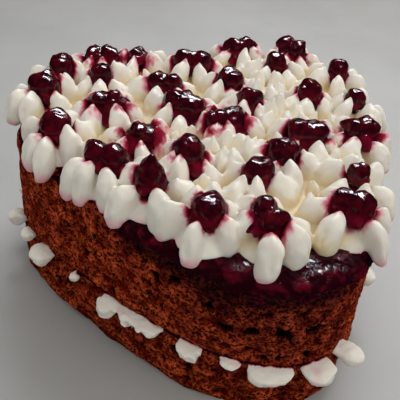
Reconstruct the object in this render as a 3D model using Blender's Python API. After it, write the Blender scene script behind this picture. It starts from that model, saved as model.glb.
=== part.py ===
"""A heart-shaped chocolate cake of two sponges with a cream filling, berry jam on top, and
piped cream flowers that each hold a spoonful of whole-berry jam. Metres, +Z up, the point of
the heart toward -Y. Lengths below are in millimetres; MM turns them into metres."""

import math

import bmesh
import bpy
import numpy as np

MM = 0.001
SEED = 31

# Heart outline, seen from above
HALF_WIDTH = 97.5
LOBE_RADIUS = 54.0
POINT_REACH = 133.0
FLANK_START_DEG = -19.0
FLANK_PULL = 45.0
POINT_PULL = 38.0
CORNER_SOFTNESS = 5.2
OUTLINE_STEPS = 640
OUTLINE_WOBBLE = 0.9

# Layers, from the table up
LOWER_TOP = 29.4
UPPER_FOOT = 31.6
UPPER_TOP = 84.5
JAM_TOP = 88.0
GAP = 0.3

# Where the sides lean out below the top edge: middle bearing, half width, millimetres
LEANS = ((-50, 46, 5.0), (172, 40, 2.5))
LEAN_STARTS = 73.0

# Side of a sponge: how far its top edge rounds in and over what height, how far its foot
# draws in and over what height, and the rings of points by their share of the height
SPONGE_SAMPLES = 80
EDGE_IN = 6.5
EDGE_TALL = 11.0
FOOT_IN = 1.2
FOOT_TALL = 3.0
END_IN = 0.6
LOWER_EDGE = 0.25
UPPER_EDGE = 1.0
LOWER_SHARES = (0.0, 0.16, 0.55, 0.86, 1.0)
UPPER_SHARES = (0.0, 0.12, 0.4, 0.68, 0.9, 1.0)
CRAG = 1.9
LEAST_CRAG = 0.3
RING_WANDER = 1.6
PIT_DEPTH = 4.0
PIT_SHARE = 0.07

# Jam that runs over the rim
JAM_SAMPLES = 60
JAM_SKIN = 2.0
JAM_THIN = 0.9
JAM_LUMP = 0.7
JAM_EDGE = 4.0
JAM_RUN = 8.0
JAM_LEAST_DROP = 0.8
JAM_RUN_MIDDLE_DEG = -100.0
JAM_RUN_HALF_WIDTH_DEG = 58.0
JAM_SHEET = 0.3
JAM_TONGUE_DEG = -111.0
JAM_TONGUE_HALF_DEG = 13.0
JAM_TUCK = -2.5

# Piped flowers: bearing in degrees about the middle of the heart, share of the way out to
# the rim, and the turn of the first fin
MIDDLE_Y = -32.0
OUTER_RING = (
    (-77, 0.84, 30), (-102, 0.80, 5), (-119, 0.86, 50), (-141, 0.82, 20),
    (-161, 0.85, 40), (176, 0.87, 15), (152, 0.84, 8), (137, 0.86, 41),
    (122, 0.84, 22), (108, 0.87, 2), (87, 0.81, 30), (61, 0.81, 12),
    (41, 0.85, 38), (20, 0.85, 4), (-2, 0.82, 27), (-28, 0.80, 46), (-61, 0.80, 9),
)
INNER_RING = (
    (-78, 0.42, 35), (-99, 0.50, 12), (-137, 0.52, 3), (-169, 0.57, 25),
    (160, 0.55, 44), (135, 0.66, 17), (120, 0.41, 51), (150, 0.20, 8),
    (-117, 0.09, 33), (-42, 0.49, 24), (9, 0.53, 2), (42, 0.62, 40),
    (64, 0.34, 15), (27, 0.16, 55),
)
PLAIN_FLOWERS = ((36, 0.39, 22), (-8, 0.35, 10), (-111, 0.30, 28))
FINS = 6
FRONT_FINS_DEG = (
    (-150, -60, -10, 38, 88, 150), (-116, -66, -16, 40, 100, 160), (-131, -58, 3, 58, 110, 163),
    (-166, -92, -25, 35, 88, 140), (-177, -148, -103, -45, 40, 110), (-165, -122, -71, -5, 60, 128),
    (-163, -120, -60, 5, 70, 135),
)
FIN_LEAST = 12.0
FIN_MOST = 20.0
FIN_OVERLAP = 2.2
FIN_HALF_THICKNESS = 4.6
FIN_TURN_SPREAD_DEG = 4.0
FIN_SLIMNESS = 0.36
FIN_FLANK = 0.82
FIN_SHOULDER = 0.76
FIN_CREST = 15.5
FOOT_SPREAD = 1.05
FOOT_SINK = -0.6
VALLEY_REACH = 11.5
FLAT_INSET = 7.0
RIM_DROOP = 0.03
FOOT_HANG = 2.8
OVERHANG = 12.5
BED_INSET = 17.0
BED_DEPTH = 3.4
BED_SAMPLES = 36
CREAM_TRIANGLES = 7650

# Berries in the flowers: one word and one size a flower, in the order of the two rings
OUTER_BERRIES = (
    "pair ragged round peaked pair round round round spread smear long spread "
    "ragged round small spread small"
)
INNER_BERRIES = (
    "round small tall flat spread small long heap spread long round small round small"
)
BERRY_SIZES = (
    1.07, 1.08, 1.1, 1.06, 1.07, 1.15, 1.22, 1.1, 1.2, 1.25, 1.18, 1.3, 1.3, 1.0, 1.15, 1.18, 1.02,
    1.2, 1.24, 1.14, 1.15, 1.2, 1.2, 0.95, 1.08, 1.24, 1.12, 1.14, 1.3, 1.22, 1.42,
)
BERRY_HEIGHT = 13.4
BERRY_RADIUS = 5.9
BERRY_SEGMENTS = 8
BERRY_RINGS = 4
SOCKET_SLACK = 0.4
LONG_AXIS_DEG = -30.0

# Pieces of the filling that show at the seam: bearing in degrees, reach out of the side, width
# along the side, how deep it hangs, how far it stands up past the seam, and the lean of its
# deepest place to one side
FILLING_INSET = 6.0
FILLING_SAMPLES = 36
SKEW = 0.42
SEAM_FINS = (
    (-98, 4.5, 21.0, 8.0, 0.0, -0.5), (-86, 7.0, 16.0, 10.0, 1.0, 0.6),
    (-77, 9.5, 11.0, 10.0, 3.0, 0.3), (-108, 1.6, 11.0, 3.4, 0.0, 0.0),
    (-120, 3.8, 12.0, 7.5, 0.0, 0.2), (-134, 2.6, 16.0, 6.5, 0.0, 0.2),
    (-142, 3.6, 11.0, 9.0, 0.0, 0.0), (-150, 6.0, 12.0, 11.5, 0.0, -0.3),
    (-167, 2.0, 5.0, 4.5, 0.0, 0.0), (178, 6.5, 13.0, 9.5, 2.0, 0.3),
    (169, 3.5, 8.0, 8.0, 2.0, 0.0), (161, 6.0, 9.0, 11.0, 4.0, 0.0),
    (150, 4.5, 8.0, 8.0, 4.0, 0.0), (-46, 5.0, 11.0, 9.0, 3.0, 0.0),
    (-22, 5.0, 12.0, 8.0, 2.0, 0.2), (5, 4.0, 10.0, 8.0, 1.0, -0.2),
    (32, 5.5, 11.0, 9.0, 2.0, 0.0), (58, 4.0, 13.0, 7.0, 1.0, 0.3),
    (115, 4.5, 11.0, 8.0, 1.5, 0.0), (132, 5.0, 10.0, 9.0, 2.0, -0.2),
)


def clear_scene():
    """Removes whatever the scene starts with."""
    for thing in list(bpy.data.objects):
        bpy.data.objects.remove(thing, do_unlink=True)


def surface(name, colour, roughness):
    """A plain material with one colour and one roughness."""
    made = bpy.data.materials.new(name)
    made.use_nodes = True
    shader = made.node_tree.nodes["Principled BSDF"]
    shader.inputs["Base Color"].default_value = (*colour, 1.0)
    shader.inputs["Roughness"].default_value = roughness
    shader.inputs["Metallic"].default_value = 0.0
    return made


def half_heart():
    """Points from the notch round the right lobe and down the flank to the point."""
    centre_x = HALF_WIDTH - LOBE_RADIUS
    notch_y = math.sqrt(LOBE_RADIUS**2 - centre_x**2)
    start = math.atan2(notch_y, -centre_x)
    end = math.radians(FLANK_START_DEG)
    turn = np.linspace(start, end, 80)
    arc = np.stack([centre_x + LOBE_RADIUS * np.cos(turn), LOBE_RADIUS * np.sin(turn)], 1)
    p0 = arc[-1]
    p1 = p0 + np.array([math.sin(end), -math.cos(end)]) * FLANK_PULL
    p3 = np.array([0.0, -POINT_REACH])
    p2 = p3 + np.array([POINT_PULL, 0.0])
    t = np.linspace(0.0, 1.0, 80)[1:, None]
    flank = (1 - t) ** 3 * p0 + 3 * t * (1 - t) ** 2 * p1 + 3 * t * t * (1 - t) * p2 + t**3 * p3
    return np.concatenate([arc, flank])


def spread_evenly(loop, count):
    """The same closed loop with points at equal steps along it."""
    ring = np.vstack([loop, loop[:1]])
    step = np.linalg.norm(np.diff(ring, axis=0), axis=1)
    along = np.concatenate([[0.0], np.cumsum(step)])
    at = np.linspace(0.0, along[-1], count + 1)[:-1]
    return np.stack([np.interp(at, along, ring[:, k]) for k in (0, 1)], 1)


def heart_outline():
    """The whole outline, counter-clockwise from the notch, corners softened."""
    right = half_heart()
    left = right[::-1][1:-1] * np.array([-1.0, 1.0])
    loop = spread_evenly(np.concatenate([right, left])[::-1], OUTLINE_STEPS)
    length = np.linalg.norm(np.roll(loop, -1, 0) - loop, axis=1).sum()
    waves = np.fft.fftfreq(OUTLINE_STEPS, length / OUTLINE_STEPS)
    soft = np.exp(-2.0 * (math.pi * waves * CORNER_SOFTNESS) ** 2)
    bent = np.fft.ifft(np.fft.fft(loop[:, 0] + 1j * loop[:, 1]) * soft)
    return spread_evenly(np.stack([bent.real, bent.imag], 1), OUTLINE_STEPS)


def outward(loop):
    """Unit vectors that point out of a counter-clockwise loop."""
    run = np.roll(loop, -2, 0) - np.roll(loop, 2, 0)
    run /= np.linalg.norm(run, axis=1)[:, None]
    return np.stack([run[:, 1], -run[:, 0]], 1)


OUTLINE = heart_outline()
OUTWARD = outward(OUTLINE)
BEARING = np.degrees(np.arctan2(OUTLINE[:, 1] - MIDDLE_Y, OUTLINE[:, 0]))


def sample(count):
    """Points, outward vectors and bearings at equal steps round the outline."""
    pick = (np.arange(count) * OUTLINE_STEPS / count).astype(int)
    side = OUTLINE_WOBBLE * np.sin(np.radians(BEARING[pick] * 3.0 + 40.0))
    side += 0.5 * OUTLINE_WOBBLE * np.sin(np.radians(BEARING[pick] * 7.0))
    return OUTLINE[pick] - OUTWARD[pick] * np.abs(side)[:, None], OUTWARD[pick], BEARING[pick]


def rim_point(bearing):
    """The point of the outline at this bearing about the middle."""
    miss = np.abs((BEARING - bearing + 180.0) % 360.0 - 180.0)
    return OUTLINE[int(np.argmin(miss))]


def make_object(name, points, faces, look=None):
    """An object with this closed mesh, lengths in millimetres."""
    mesh = bpy.data.meshes.new(name)
    mesh.from_pydata((np.asarray(points) * MM).tolist(), [], [list(f) for f in faces])
    mesh.validate()
    made = bpy.data.objects.new(name, mesh)
    bpy.context.scene.collection.objects.link(made)
    if look is not None:
        mesh.materials.append(look)
    face_outward(made)
    mesh.shade_smooth()
    return made


def face_outward(thing):
    """Turns every face of the mesh outward."""
    work = bmesh.new()
    work.from_mesh(thing.data)
    bmesh.ops.recalc_face_normals(work, faces=work.faces)
    work.to_mesh(thing.data)
    work.free()


def loft(rings):
    """Points and faces of a closed body through rings with the same number of points."""
    count = len(rings[0])
    points = np.concatenate(rings)
    faces = [tuple(range(count))[::-1]]
    for k in range(len(rings) - 1):
        a, b = k * count, (k + 1) * count
        for j in range(count):
            n = (j + 1) % count
            faces.append((a + j, a + n, b + n, b + j))
    last = (len(rings) - 1) * count
    faces.append(tuple(range(last, last + count)))
    return points, faces


def ring_at(base, normals, offset, height):
    """One ring: the base moved outward by the offset, at this height."""
    flat = base + normals * np.broadcast_to(offset, len(base))[:, None]
    return np.column_stack([flat, np.broadcast_to(height, len(base))])


def apply_boolean(target, kind, operand=None, group=None):
    """Adds a Boolean of one object or a collection, and applies it."""
    step = target.modifiers.new("cut", "BOOLEAN")
    step.operation = kind
    step.solver = "MANIFOLD"
    if group is not None:
        step.operand_type = "COLLECTION"
        step.collection = group
    else:
        step.object = operand
    bpy.context.view_layer.update()
    depsgraph = bpy.context.evaluated_depsgraph_get()
    result = bpy.data.meshes.new_from_object(target.evaluated_get(depsgraph))
    target.modifiers.clear()
    old = target.data
    target.data = result
    bpy.data.meshes.remove(old)


def move_to(thing, group):
    """Takes an object out of the scene's collection into this one."""
    bpy.context.scene.collection.objects.unlink(thing)
    group.objects.link(thing)


def drop_object(thing):
    """Removes an object that served as a tool."""
    bpy.data.objects.remove(thing, do_unlink=True)


def thin_out(thing, share):
    """Collapses the shortest edges until this share of the triangles is left."""
    step = thing.modifiers.new("thin", "DECIMATE")
    step.ratio = share
    bpy.context.view_layer.update()
    depsgraph = bpy.context.evaluated_depsgraph_get()
    result = bpy.data.meshes.new_from_object(thing.evaluated_get(depsgraph))
    thing.modifiers.clear()
    old = thing.data
    thing.data = result
    bpy.data.meshes.remove(old)


def keep_largest(thing):
    """Keeps only the largest closed body of a mesh, as triangles."""
    work = bmesh.new()
    work.from_mesh(thing.data)
    bmesh.ops.triangulate(work, faces=work.faces)
    islands = []
    seen = set()
    for vert in work.verts:
        if vert in seen:
            continue
        island, todo = [], [vert]
        seen.add(vert)
        while todo:
            here = todo.pop()
            island.append(here)
            for edge in here.link_edges:
                other = edge.other_vert(here)
                if other not in seen:
                    seen.add(other)
                    todo.append(other)
        islands.append(island)
    islands.sort(key=len, reverse=True)
    for island in islands[1:]:
        bmesh.ops.delete(work, geom=island, context="VERTS")
    work.to_mesh(thing.data)
    work.free()


def lean(bearings, height):
    """How far the side stands out at this height where the cake leans."""
    low = min(1.0, max(0.0, (LEAN_STARTS - height) / (LEAN_STARTS - UPPER_FOOT)))
    total = np.zeros(np.shape(bearings))
    for middle, half, amount in LEANS:
        away = np.abs((bearings - middle + 180.0) % 360.0 - 180.0)
        total = total + amount * np.clip(1.0 - (away / half) ** 2, 0.0, 1.0)
    return total * low


def sponge_inset(bearings, height, foot, top, edge):
    """How far the side of a sponge stands in from the outline at this height."""
    up = max(0.0, height - (top - EDGE_TALL)) / EDGE_TALL
    down = max(0.0, foot + FOOT_TALL - height) / FOOT_TALL
    return edge * (EDGE_IN * up**2.6 + FOOT_IN * down**2) - lean(bearings, height)


def sponge(name, foot, top, edge, shares, look, rng):
    """A baked layer with a craggy, pitted side."""
    base, normals, bearings = sample(SPONGE_SAMPLES)
    rings = []
    for share in shares:
        height = foot + (top - foot) * share
        inset = sponge_inset(bearings, height, foot, top, edge)
        crag = LEAST_CRAG + CRAG * rng.random(SPONGE_SAMPLES)
        if share in (0.0, 1.0):
            rings.append(ring_at(base, normals, -(inset + END_IN + crag), height))
            continue
        pitted = rng.random(SPONGE_SAMPLES) < PIT_SHARE
        depth = PIT_DEPTH * (0.5 + 0.5 * rng.random(SPONGE_SAMPLES))
        wander = RING_WANDER * (rng.random(SPONGE_SAMPLES) - 0.5)
        inset = inset + crag + np.where(pitted, depth, 0.0)
        rings.append(ring_at(base, normals, -inset, height + wander))
    points, faces = loft(rings)
    return make_object(name, points, faces, look)


def sponge_envelope(name, foot, top, edge, grow, count):
    """The smooth shape that the craggy sponge stays inside, grown on all sides."""
    base, normals, bearings = sample(count)
    bends = (EDGE_TALL, 0.5 * EDGE_TALL, 2.0) if edge == UPPER_EDGE else (FOOT_TALL,)
    heights = [foot - grow, foot + FOOT_TALL, *(top - bend for bend in bends), top + grow]
    rings = []
    for height in heights:
        inset = sponge_inset(bearings, min(height, top), foot, top, edge)
        rings.append(ring_at(base, normals, grow - inset, height))
    return make_object(name, *loft(rings))


def jam_run(bearings):
    """How far the jam runs down the side: 0 to 1, a thin sheet with one long tongue."""
    away = np.abs((bearings - JAM_RUN_MIDDLE_DEG + 180.0) % 360.0 - 180.0)
    sheet = np.clip(1.0 - (away / JAM_RUN_HALF_WIDTH_DEG) ** 2, 0.0, 1.0) ** 0.5
    tongue = np.exp(-(((bearings - JAM_TONGUE_DEG) / JAM_TONGUE_HALF_DEG) ** 2))
    drips = np.sin(np.radians(bearings * 13.0)) * np.sin(np.radians(bearings * 5.0))
    return sheet * (JAM_SHEET + (1.0 - JAM_SHEET) * tongue) * (0.85 + 0.15 * drips)


def jam_rings(grow, count):
    """Rings of the jam from the flat of the top, over the rim, down to the end of the run."""
    base, normals, bearings = sample(count)
    run = jam_run(bearings)
    shown = np.clip(run / (0.6 * JAM_SHEET), 0.0, 1.0)
    skin = shown * (JAM_THIN + (JAM_SKIN - JAM_THIN) * run) - 0.6 * (1.0 - shown) + grow
    lump = JAM_LUMP * np.sin(np.radians(bearings * 17.0)) * shown
    drop = JAM_LEAST_DROP + JAM_RUN * run
    top = JAM_TOP + min(grow, GAP)
    edge = UPPER_TOP - JAM_EDGE
    inside = UPPER_TOP - 30.0
    return [
        ring_at(base, normals, grow - EDGE_TALL, top),
        ring_at(base, normals, grow - 6.0 + 0.3 * skin, top - 0.9),
        ring_at(base, normals, skin - 3.0, UPPER_TOP + 0.6),
        ring_at(base, normals, skin - 0.6 + lump, edge),
        ring_at(base, normals, 0.75 * skin - 0.2 + lump, edge - 0.5 - 0.65 * drop),
        ring_at(base, normals, JAM_TUCK, edge - 1.0 - drop),
        ring_at(base, normals, JAM_TUCK - 2.0, inside),
    ]


def jam_layer(look):
    """Jam spread on the upper sponge and run over its rim near the point."""
    layer = make_object("jam_layer", *loft(jam_rings(0.0, JAM_SAMPLES)), look)
    under = sponge_envelope("under", UPPER_FOOT, UPPER_TOP, UPPER_EDGE, GAP, JAM_SAMPLES)
    apply_boolean(layer, "DIFFERENCE", under)
    drop_object(under)
    keep_largest(layer)
    return layer


def seam_fin(bearing, reach, width, tall, lift, skew):
    """One piece of the filling squeezed out at the seam: nearly flat above, hanging below."""
    at = rim_point(bearing)
    out = OUTWARD[int(np.argmin(np.linalg.norm(OUTLINE - at, axis=1)))]
    at = at + out * lean(bearing, UPPER_FOOT)
    along = np.array([-out[1], out[0]])
    rings = []
    for far, wide, shown, end in ((-FILLING_INSET - 3.0, 0.72, 0.0, 1.0), (0.0, 0.95, 0.8, 0.95),
                                  (0.55 * reach, 1.0, 1.0, 0.8), (0.97 * reach, 1.0, 1.0, 0.35)):
        roof = UPPER_FOOT - 0.4 + 0.5 * lift * shown - 0.14 * max(far, 0.0)
        centre = at + out * far
        ring = []
        for k in range(6):
            turn = 2.0 * math.pi * (k + 0.5) / 6.0
            up, down = max(math.sin(turn), 0.0), max(-math.sin(turn), 0.0)
            side = 0.5 * width * wide * end * math.cos(turn) + SKEW * skew * width * down * shown * end
            rise = (0.8 + 0.3 * lift * shown) * end * up - tall * (0.25 + 0.6 * shown) * end * down
            ring.append((*(centre + along * side), roof + rise))
        rings.append(np.array(ring))
    return make_object("seam_fin", *loft(rings))


def filling(look):
    """The cream between the sponges, with the fins that show at the seam."""
    base, normals, bearings = sample(FILLING_SAMPLES)
    inset = FILLING_INSET - lean(bearings, UPPER_FOOT)
    rings = [
        ring_at(base, normals, -inset, LOWER_TOP - 1.0),
        ring_at(base, normals, -inset, UPPER_FOOT + 1.0),
    ]
    body = make_object("filling_cream", *loft(rings), look)
    group = bpy.data.collections.new("seam_fins")
    bpy.context.scene.collection.children.link(group)
    for row in SEAM_FINS:
        move_to(seam_fin(*row), group)
    apply_boolean(body, "UNION", group=group)
    for fin in list(group.objects):
        drop_object(fin)
    bpy.data.collections.remove(group)
    for foot, top, edge in ((0.0, LOWER_TOP, LOWER_EDGE), (UPPER_FOOT, UPPER_TOP, UPPER_EDGE)):
        block = sponge_envelope("block", foot, top, edge, GAP, FILLING_SAMPLES)
        apply_boolean(body, "DIFFERENCE", block)
        drop_object(block)
    keep_largest(body)
    return body


def flower_places():
    """Centre of every flower, outer ring first, and the bearings of its fins."""
    places = []
    for number, (bearing, share, turn) in enumerate(OUTER_RING + INNER_RING + PLAIN_FLOWERS):
        rim = rim_point(bearing)
        centre = np.array([0.0, MIDDLE_Y]) * (1.0 - share) + rim * share
        even = [turn + 360.0 * k / FINS for k in range(FINS)]
        places.append((centre, FRONT_FINS_DEG[number] if number < len(FRONT_FINS_DEG) else even))
    return places


def fin_draws(rng):
    """The uneven sizes of one fin: share of its room, crest, thickness, turn, peak, lean."""
    draw = rng.random(6)
    return {
        "reach": 0.94 + 0.12 * draw[0],
        "crest": FIN_CREST * (0.84 + 0.3 * draw[1]),
        "half": FIN_HALF_THICKNESS * (0.84 + 0.32 * draw[2]),
        "turn": FIN_TURN_SPREAD_DEG * (2.0 * draw[3] - 1.0),
        "peak": 0.36 + 0.1 * draw[4],
        "lean": 2.0 * draw[5] - 1.0,
    }


def rim_excess(points):
    """How far each point stands outside the flat of the top, in plan."""
    apart = points[:, None, :] - OUTLINE[None, ::8, :]
    nearest = np.argmin((apart**2).sum(2), axis=1)
    rows = np.arange(len(points))
    return FLAT_INSET + (apart[rows, nearest] * OUTWARD[::8][nearest]).sum(1)


def room_along(centre, heading, others):
    """How far a fin can run this way before it meets a neighbour's half or leaves the rim."""
    apart = others - centre
    toward = apart @ heading
    ahead = toward > 1.0
    halfway = ((apart[ahead] ** 2).sum(1) / (2.0 * toward[ahead])).min(initial=FIN_MOST)
    steps = np.arange(FIN_LEAST, FIN_MOST, 0.5)
    over = rim_excess(centre + steps[:, None] * heading)
    rim = steps[over < OVERHANG].max(initial=FIN_LEAST)
    return min(halfway + FIN_OVERLAP, rim)


def flower_fins(centre, bearings, others, rng):
    """The sizes and bearings of a flower's fins, each as long as its room allows."""
    fins = []
    for middle in bearings:
        size = fin_draws(rng)
        bearing = math.radians(middle + size["turn"])
        heading = np.array([math.cos(bearing), math.sin(bearing)])
        room = room_along(centre, heading, others)
        size["reach"] *= min(max(room, FIN_LEAST), FIN_MOST)
        size["half"] = min(size["half"], FIN_SLIMNESS * size["reach"])
        fins.append((size, bearing))
    return fins


def turned(size, bearing, share, side, height):
    """A point of a fin: share of its reach, share of its half thickness, height."""
    x = share * size["reach"]
    y = side * size["half"] + 0.06 * size["lean"] * height
    c, s = math.cos(bearing), math.sin(bearing)
    return (x * c - y * s, x * s + y * c, height)


def flower_body(centre, bearings, others, rng):
    """A piped flower: upright rounded blades that grow together in the middle."""
    foot, brow, top = [], [], []
    before = [bearings[-1] - 360.0, *bearings[:-1]]
    for k, (size, bearing) in enumerate(flower_fins(centre, bearings, others, rng)):
        valley = math.radians(0.5 * (before[k] + bearings[k]))
        c, s = math.cos(valley), math.sin(valley)
        high = 0.5 * size["crest"]
        foot.append((VALLEY_REACH * c, VALLEY_REACH * s, FOOT_SINK))
        foot.append(turned(size, bearing, FIN_FLANK, -FOOT_SPREAD, FOOT_SINK))
        foot.append(turned(size, bearing, 0.97, 0.0, FOOT_SINK))
        foot.append(turned(size, bearing, FIN_FLANK, FOOT_SPREAD, FOOT_SINK))
        brow.append((0.55 * VALLEY_REACH * c, 0.55 * VALLEY_REACH * s, 0.8 * high))
        brow.append(turned(size, bearing, FIN_FLANK, -1.0, high))
        brow.append(turned(size, bearing, 1.0, 0.0, 0.6 * high))
        brow.append(turned(size, bearing, FIN_FLANK, 1.0, high))
        top.append(turned(size, bearing, size["peak"], 0.0, size["crest"]))
        top.append(turned(size, bearing, FIN_SHOULDER, 0.0, 0.9 * size["crest"]))
    points = np.array(foot + brow + top + [(0.0, 0.0, 0.55 * FIN_CREST)])
    points[:, :2] += centre
    points[:, 2] += JAM_TOP
    over = np.clip(rim_excess(points[:, :2]), 0.0, OVERHANG + 1.0)
    points[:, 2] -= RIM_DROOP * over**2
    points[: len(foot), 2] -= FOOT_HANG * np.clip(over[: len(foot)] / FLAT_INSET, 0.0, 1.0)
    return make_object("flower", points, flower_faces())


def flower_faces():
    """Faces of a flower: foot, the band up the blades, and the fans over their crests."""
    count = 4 * FINS
    faces = [tuple(range(count))[::-1]]
    for j in range(count):
        n = (j + 1) % count
        faces += [(j, n, count + n), (j, count + n, count + j)]
    brow, top = count, 2 * count
    middle = top + 2 * FINS
    for k in range(FINS):
        v, left, tip, right = (brow + 4 * k + j for j in range(4))
        after = brow + (4 * k + 4) % count
        peak, shoulder = top + 2 * k, top + 2 * k + 1
        faces += [(v, left, peak), (left, shoulder, peak), (left, tip, shoulder)]
        faces += [(tip, right, shoulder), (right, peak, shoulder), (right, after, peak)]
        faces += [(after, middle, peak), (middle, v, peak)]
    return faces


def cream_bed():
    """The thin bed where the feet of the flowers run together."""
    base, normals, _ = sample(BED_SAMPLES)
    rings = [
        ring_at(base, normals, -BED_INSET, JAM_TOP - 1.0),
        ring_at(base, normals, -BED_INSET, JAM_TOP + BED_DEPTH - 1.0),
        ring_at(base, normals, -BED_INSET - 2.0, JAM_TOP + BED_DEPTH),
    ]
    return make_object("cream_flowers", *loft(rings))


def berry_lobes(kind, size, turn):
    """Overlapping balls that all hold the middle of the berry: x, y, z and radius."""
    r = BERRY_RADIUS * size
    c, s = math.cos(math.radians(turn)), math.sin(math.radians(turn))
    shapes = {
        "round": [(0, 0, 0, r)],
        "small": [(0, 0, 0, 0.78 * r)],
        "tall": [(0, 0, 0.8, 1.05 * r), (0.2 * r, -0.1 * r, -0.6 * r, 0.9 * r)],
        "peaked": [(0, 0, -0.4, 0.98 * r), (0, 0, 0.45 * r, 0.72 * r)],
        "pair": [(0.62 * r, 0, 0, 0.9 * r), (-0.6 * r, 0.1 * r, 0.3, 0.82 * r)],
        "long": [(0.72 * r, 0, 0, 0.86 * r), (-0.72 * r, 0, 0, 0.86 * r), (0, 0, -0.5, 0.8 * r)],
        "spread": [(0.4 * r, 0.25 * r, -0.8, 0.85 * r), (-0.5 * r, -0.1 * r, -0.6, 0.8 * r)],
        "ragged": [(0.3 * r, -0.2 * r, 0, 0.82 * r), (-0.3 * r, 0.25 * r, 0.7, 0.75 * r)],
        "flat": [(0, 0, -1.6, 0.86 * r), (0.35 * r, 0.2 * r, -1.8, 0.8 * r)],
        "heap": [(0.55 * r, -0.2 * r, -0.4, 0.95 * r), (-0.55 * r, 0.25 * r, -0.3, 0.95 * r),
                 (0, 0, 0.8, 0.9 * r)],
        "smear": [(0, 0, -2.4, 0.72 * r)],
    }
    return [(x * c - y * s, x * s + y * c, z, ball) for x, y, z, ball in shapes[kind]]


def berry_body(name, place, kind, size, turn, grow, look=None):
    """A berry with the jam that clings to it, as one closed body."""
    lobes = berry_lobes(kind, size, turn)
    rings = []
    for k in range(1, BERRY_RINGS):
        tilt = math.pi * k / BERRY_RINGS
        ring = []
        for j in range(BERRY_SEGMENTS):
            spin = 2.0 * math.pi * (j + 0.5 * (k % 2)) / BERRY_SEGMENTS
            ring.append((math.sin(tilt) * math.cos(spin), math.sin(tilt) * math.sin(spin), math.cos(tilt)))
        rings.append(ring)
    rays = np.array([(0.0, 0.0, 1.0)] + [p for ring in rings for p in ring] + [(0.0, 0.0, -1.0)])
    far = np.zeros(len(rays))
    for x, y, z, ball in lobes:
        along = rays @ np.array([x, y, z])
        inside = ball**2 - (x * x + y * y + z * z)
        far = np.maximum(far, along + np.sqrt(np.maximum(along**2 + inside, 0.01)))
    if kind == "peaked":
        far[0] += 2.4
    points = rays * (far + grow)[:, None] + np.array([place[0], place[1], JAM_TOP + BERRY_HEIGHT])
    return make_object(name, points, berry_faces(), look)


def berry_faces():
    """Triangles between the pole, the rings and the other pole."""
    n, rings = BERRY_SEGMENTS, BERRY_RINGS - 1
    faces = [(0, 1 + j, 1 + (j + 1) % n) for j in range(n)]
    for k in range(rings - 1):
        a, b = 1 + k * n, 1 + (k + 1) * n
        for j in range(n):
            m = (j + 1) % n
            if k % 2 == 0:
                faces += [(a + j, b + j, a + m), (a + m, b + j, b + m)]
            else:
                faces += [(a + j, b + j, b + m), (a + j, b + m, a + m)]
    low, end = 1 + (rings - 1) * n, 1 + rings * n
    faces += [(end, low + (j + 1) % n, low + j) for j in range(n)]
    return faces


def berry_list(rng):
    """Place, kind, size and turn of every berry."""
    kinds = OUTER_BERRIES.split() + INNER_BERRIES.split()
    rows = []
    for (centre, _), kind, share in zip(flower_places(), kinds, BERRY_SIZES):
        size = share * (0.97 + 0.06 * rng.random())
        turn = LONG_AXIS_DEG + 24.0 * (rng.random() - 0.5)
        rows.append((centre, kind, size, turn))
    return rows


def cream_flowers(look, berries, rng):
    """All the piped flowers and their bed as one body, with a hollow for every berry."""
    body = cream_bed()
    body.data.materials.append(look)
    group = bpy.data.collections.new("flowers")
    bpy.context.scene.collection.children.link(group)
    places = flower_places()
    for k, (centre, bearings) in enumerate(places):
        others = np.array([place for place, _ in places[:k] + places[k + 1 :]])
        move_to(flower_body(centre, bearings, others, rng), group)
    apply_boolean(body, "UNION", group=group)
    for fin in list(group.objects):
        drop_object(fin)
    for centre, kind, size, turn in berries:
        move_to(berry_body("socket", centre, kind, size, turn, GAP + SOCKET_SLACK), group)
    under = make_object("under", *loft(jam_rings(GAP + 0.1, JAM_SAMPLES)))
    apply_boolean(body, "DIFFERENCE", group=group)
    apply_boolean(body, "DIFFERENCE", under)
    side = sponge_envelope("side", UPPER_FOOT, UPPER_TOP, UPPER_EDGE, GAP, JAM_SAMPLES)
    apply_boolean(body, "DIFFERENCE", side)
    for tool in [*group.objects, under, side]:
        drop_object(tool)
    bpy.data.collections.remove(group)
    keep_largest(body)
    thin_out(body, min(1.0, CREAM_TRIANGLES / len(body.data.polygons)))
    body.data.shade_smooth()
    return body


def centre_on_origin():
    """Moves every mesh so that the whole stands at the origin, foot on zero."""
    things = [thing for thing in bpy.data.objects if thing.type == "MESH"]
    ends = []
    for thing in things:
        co = np.empty(len(thing.data.vertices) * 3)
        thing.data.vertices.foreach_get("co", co)
        co = co.reshape(-1, 3)
        ends += [co.min(0), co.max(0)]
    low, high = np.min(ends, axis=0), np.max(ends, axis=0)
    move = np.array([-(low[0] + high[0]) / 2, -(low[1] + high[1]) / 2, -low[2]])
    for thing in things:
        co = np.empty(len(thing.data.vertices) * 3)
        thing.data.vertices.foreach_get("co", co)
        thing.data.vertices.foreach_set("co", (co.reshape(-1, 3) + move).ravel())
        thing.data.update()
    print("moved by", np.round(move * 1000, 3), "size", np.round((high - low) * 1000, 2))


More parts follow.
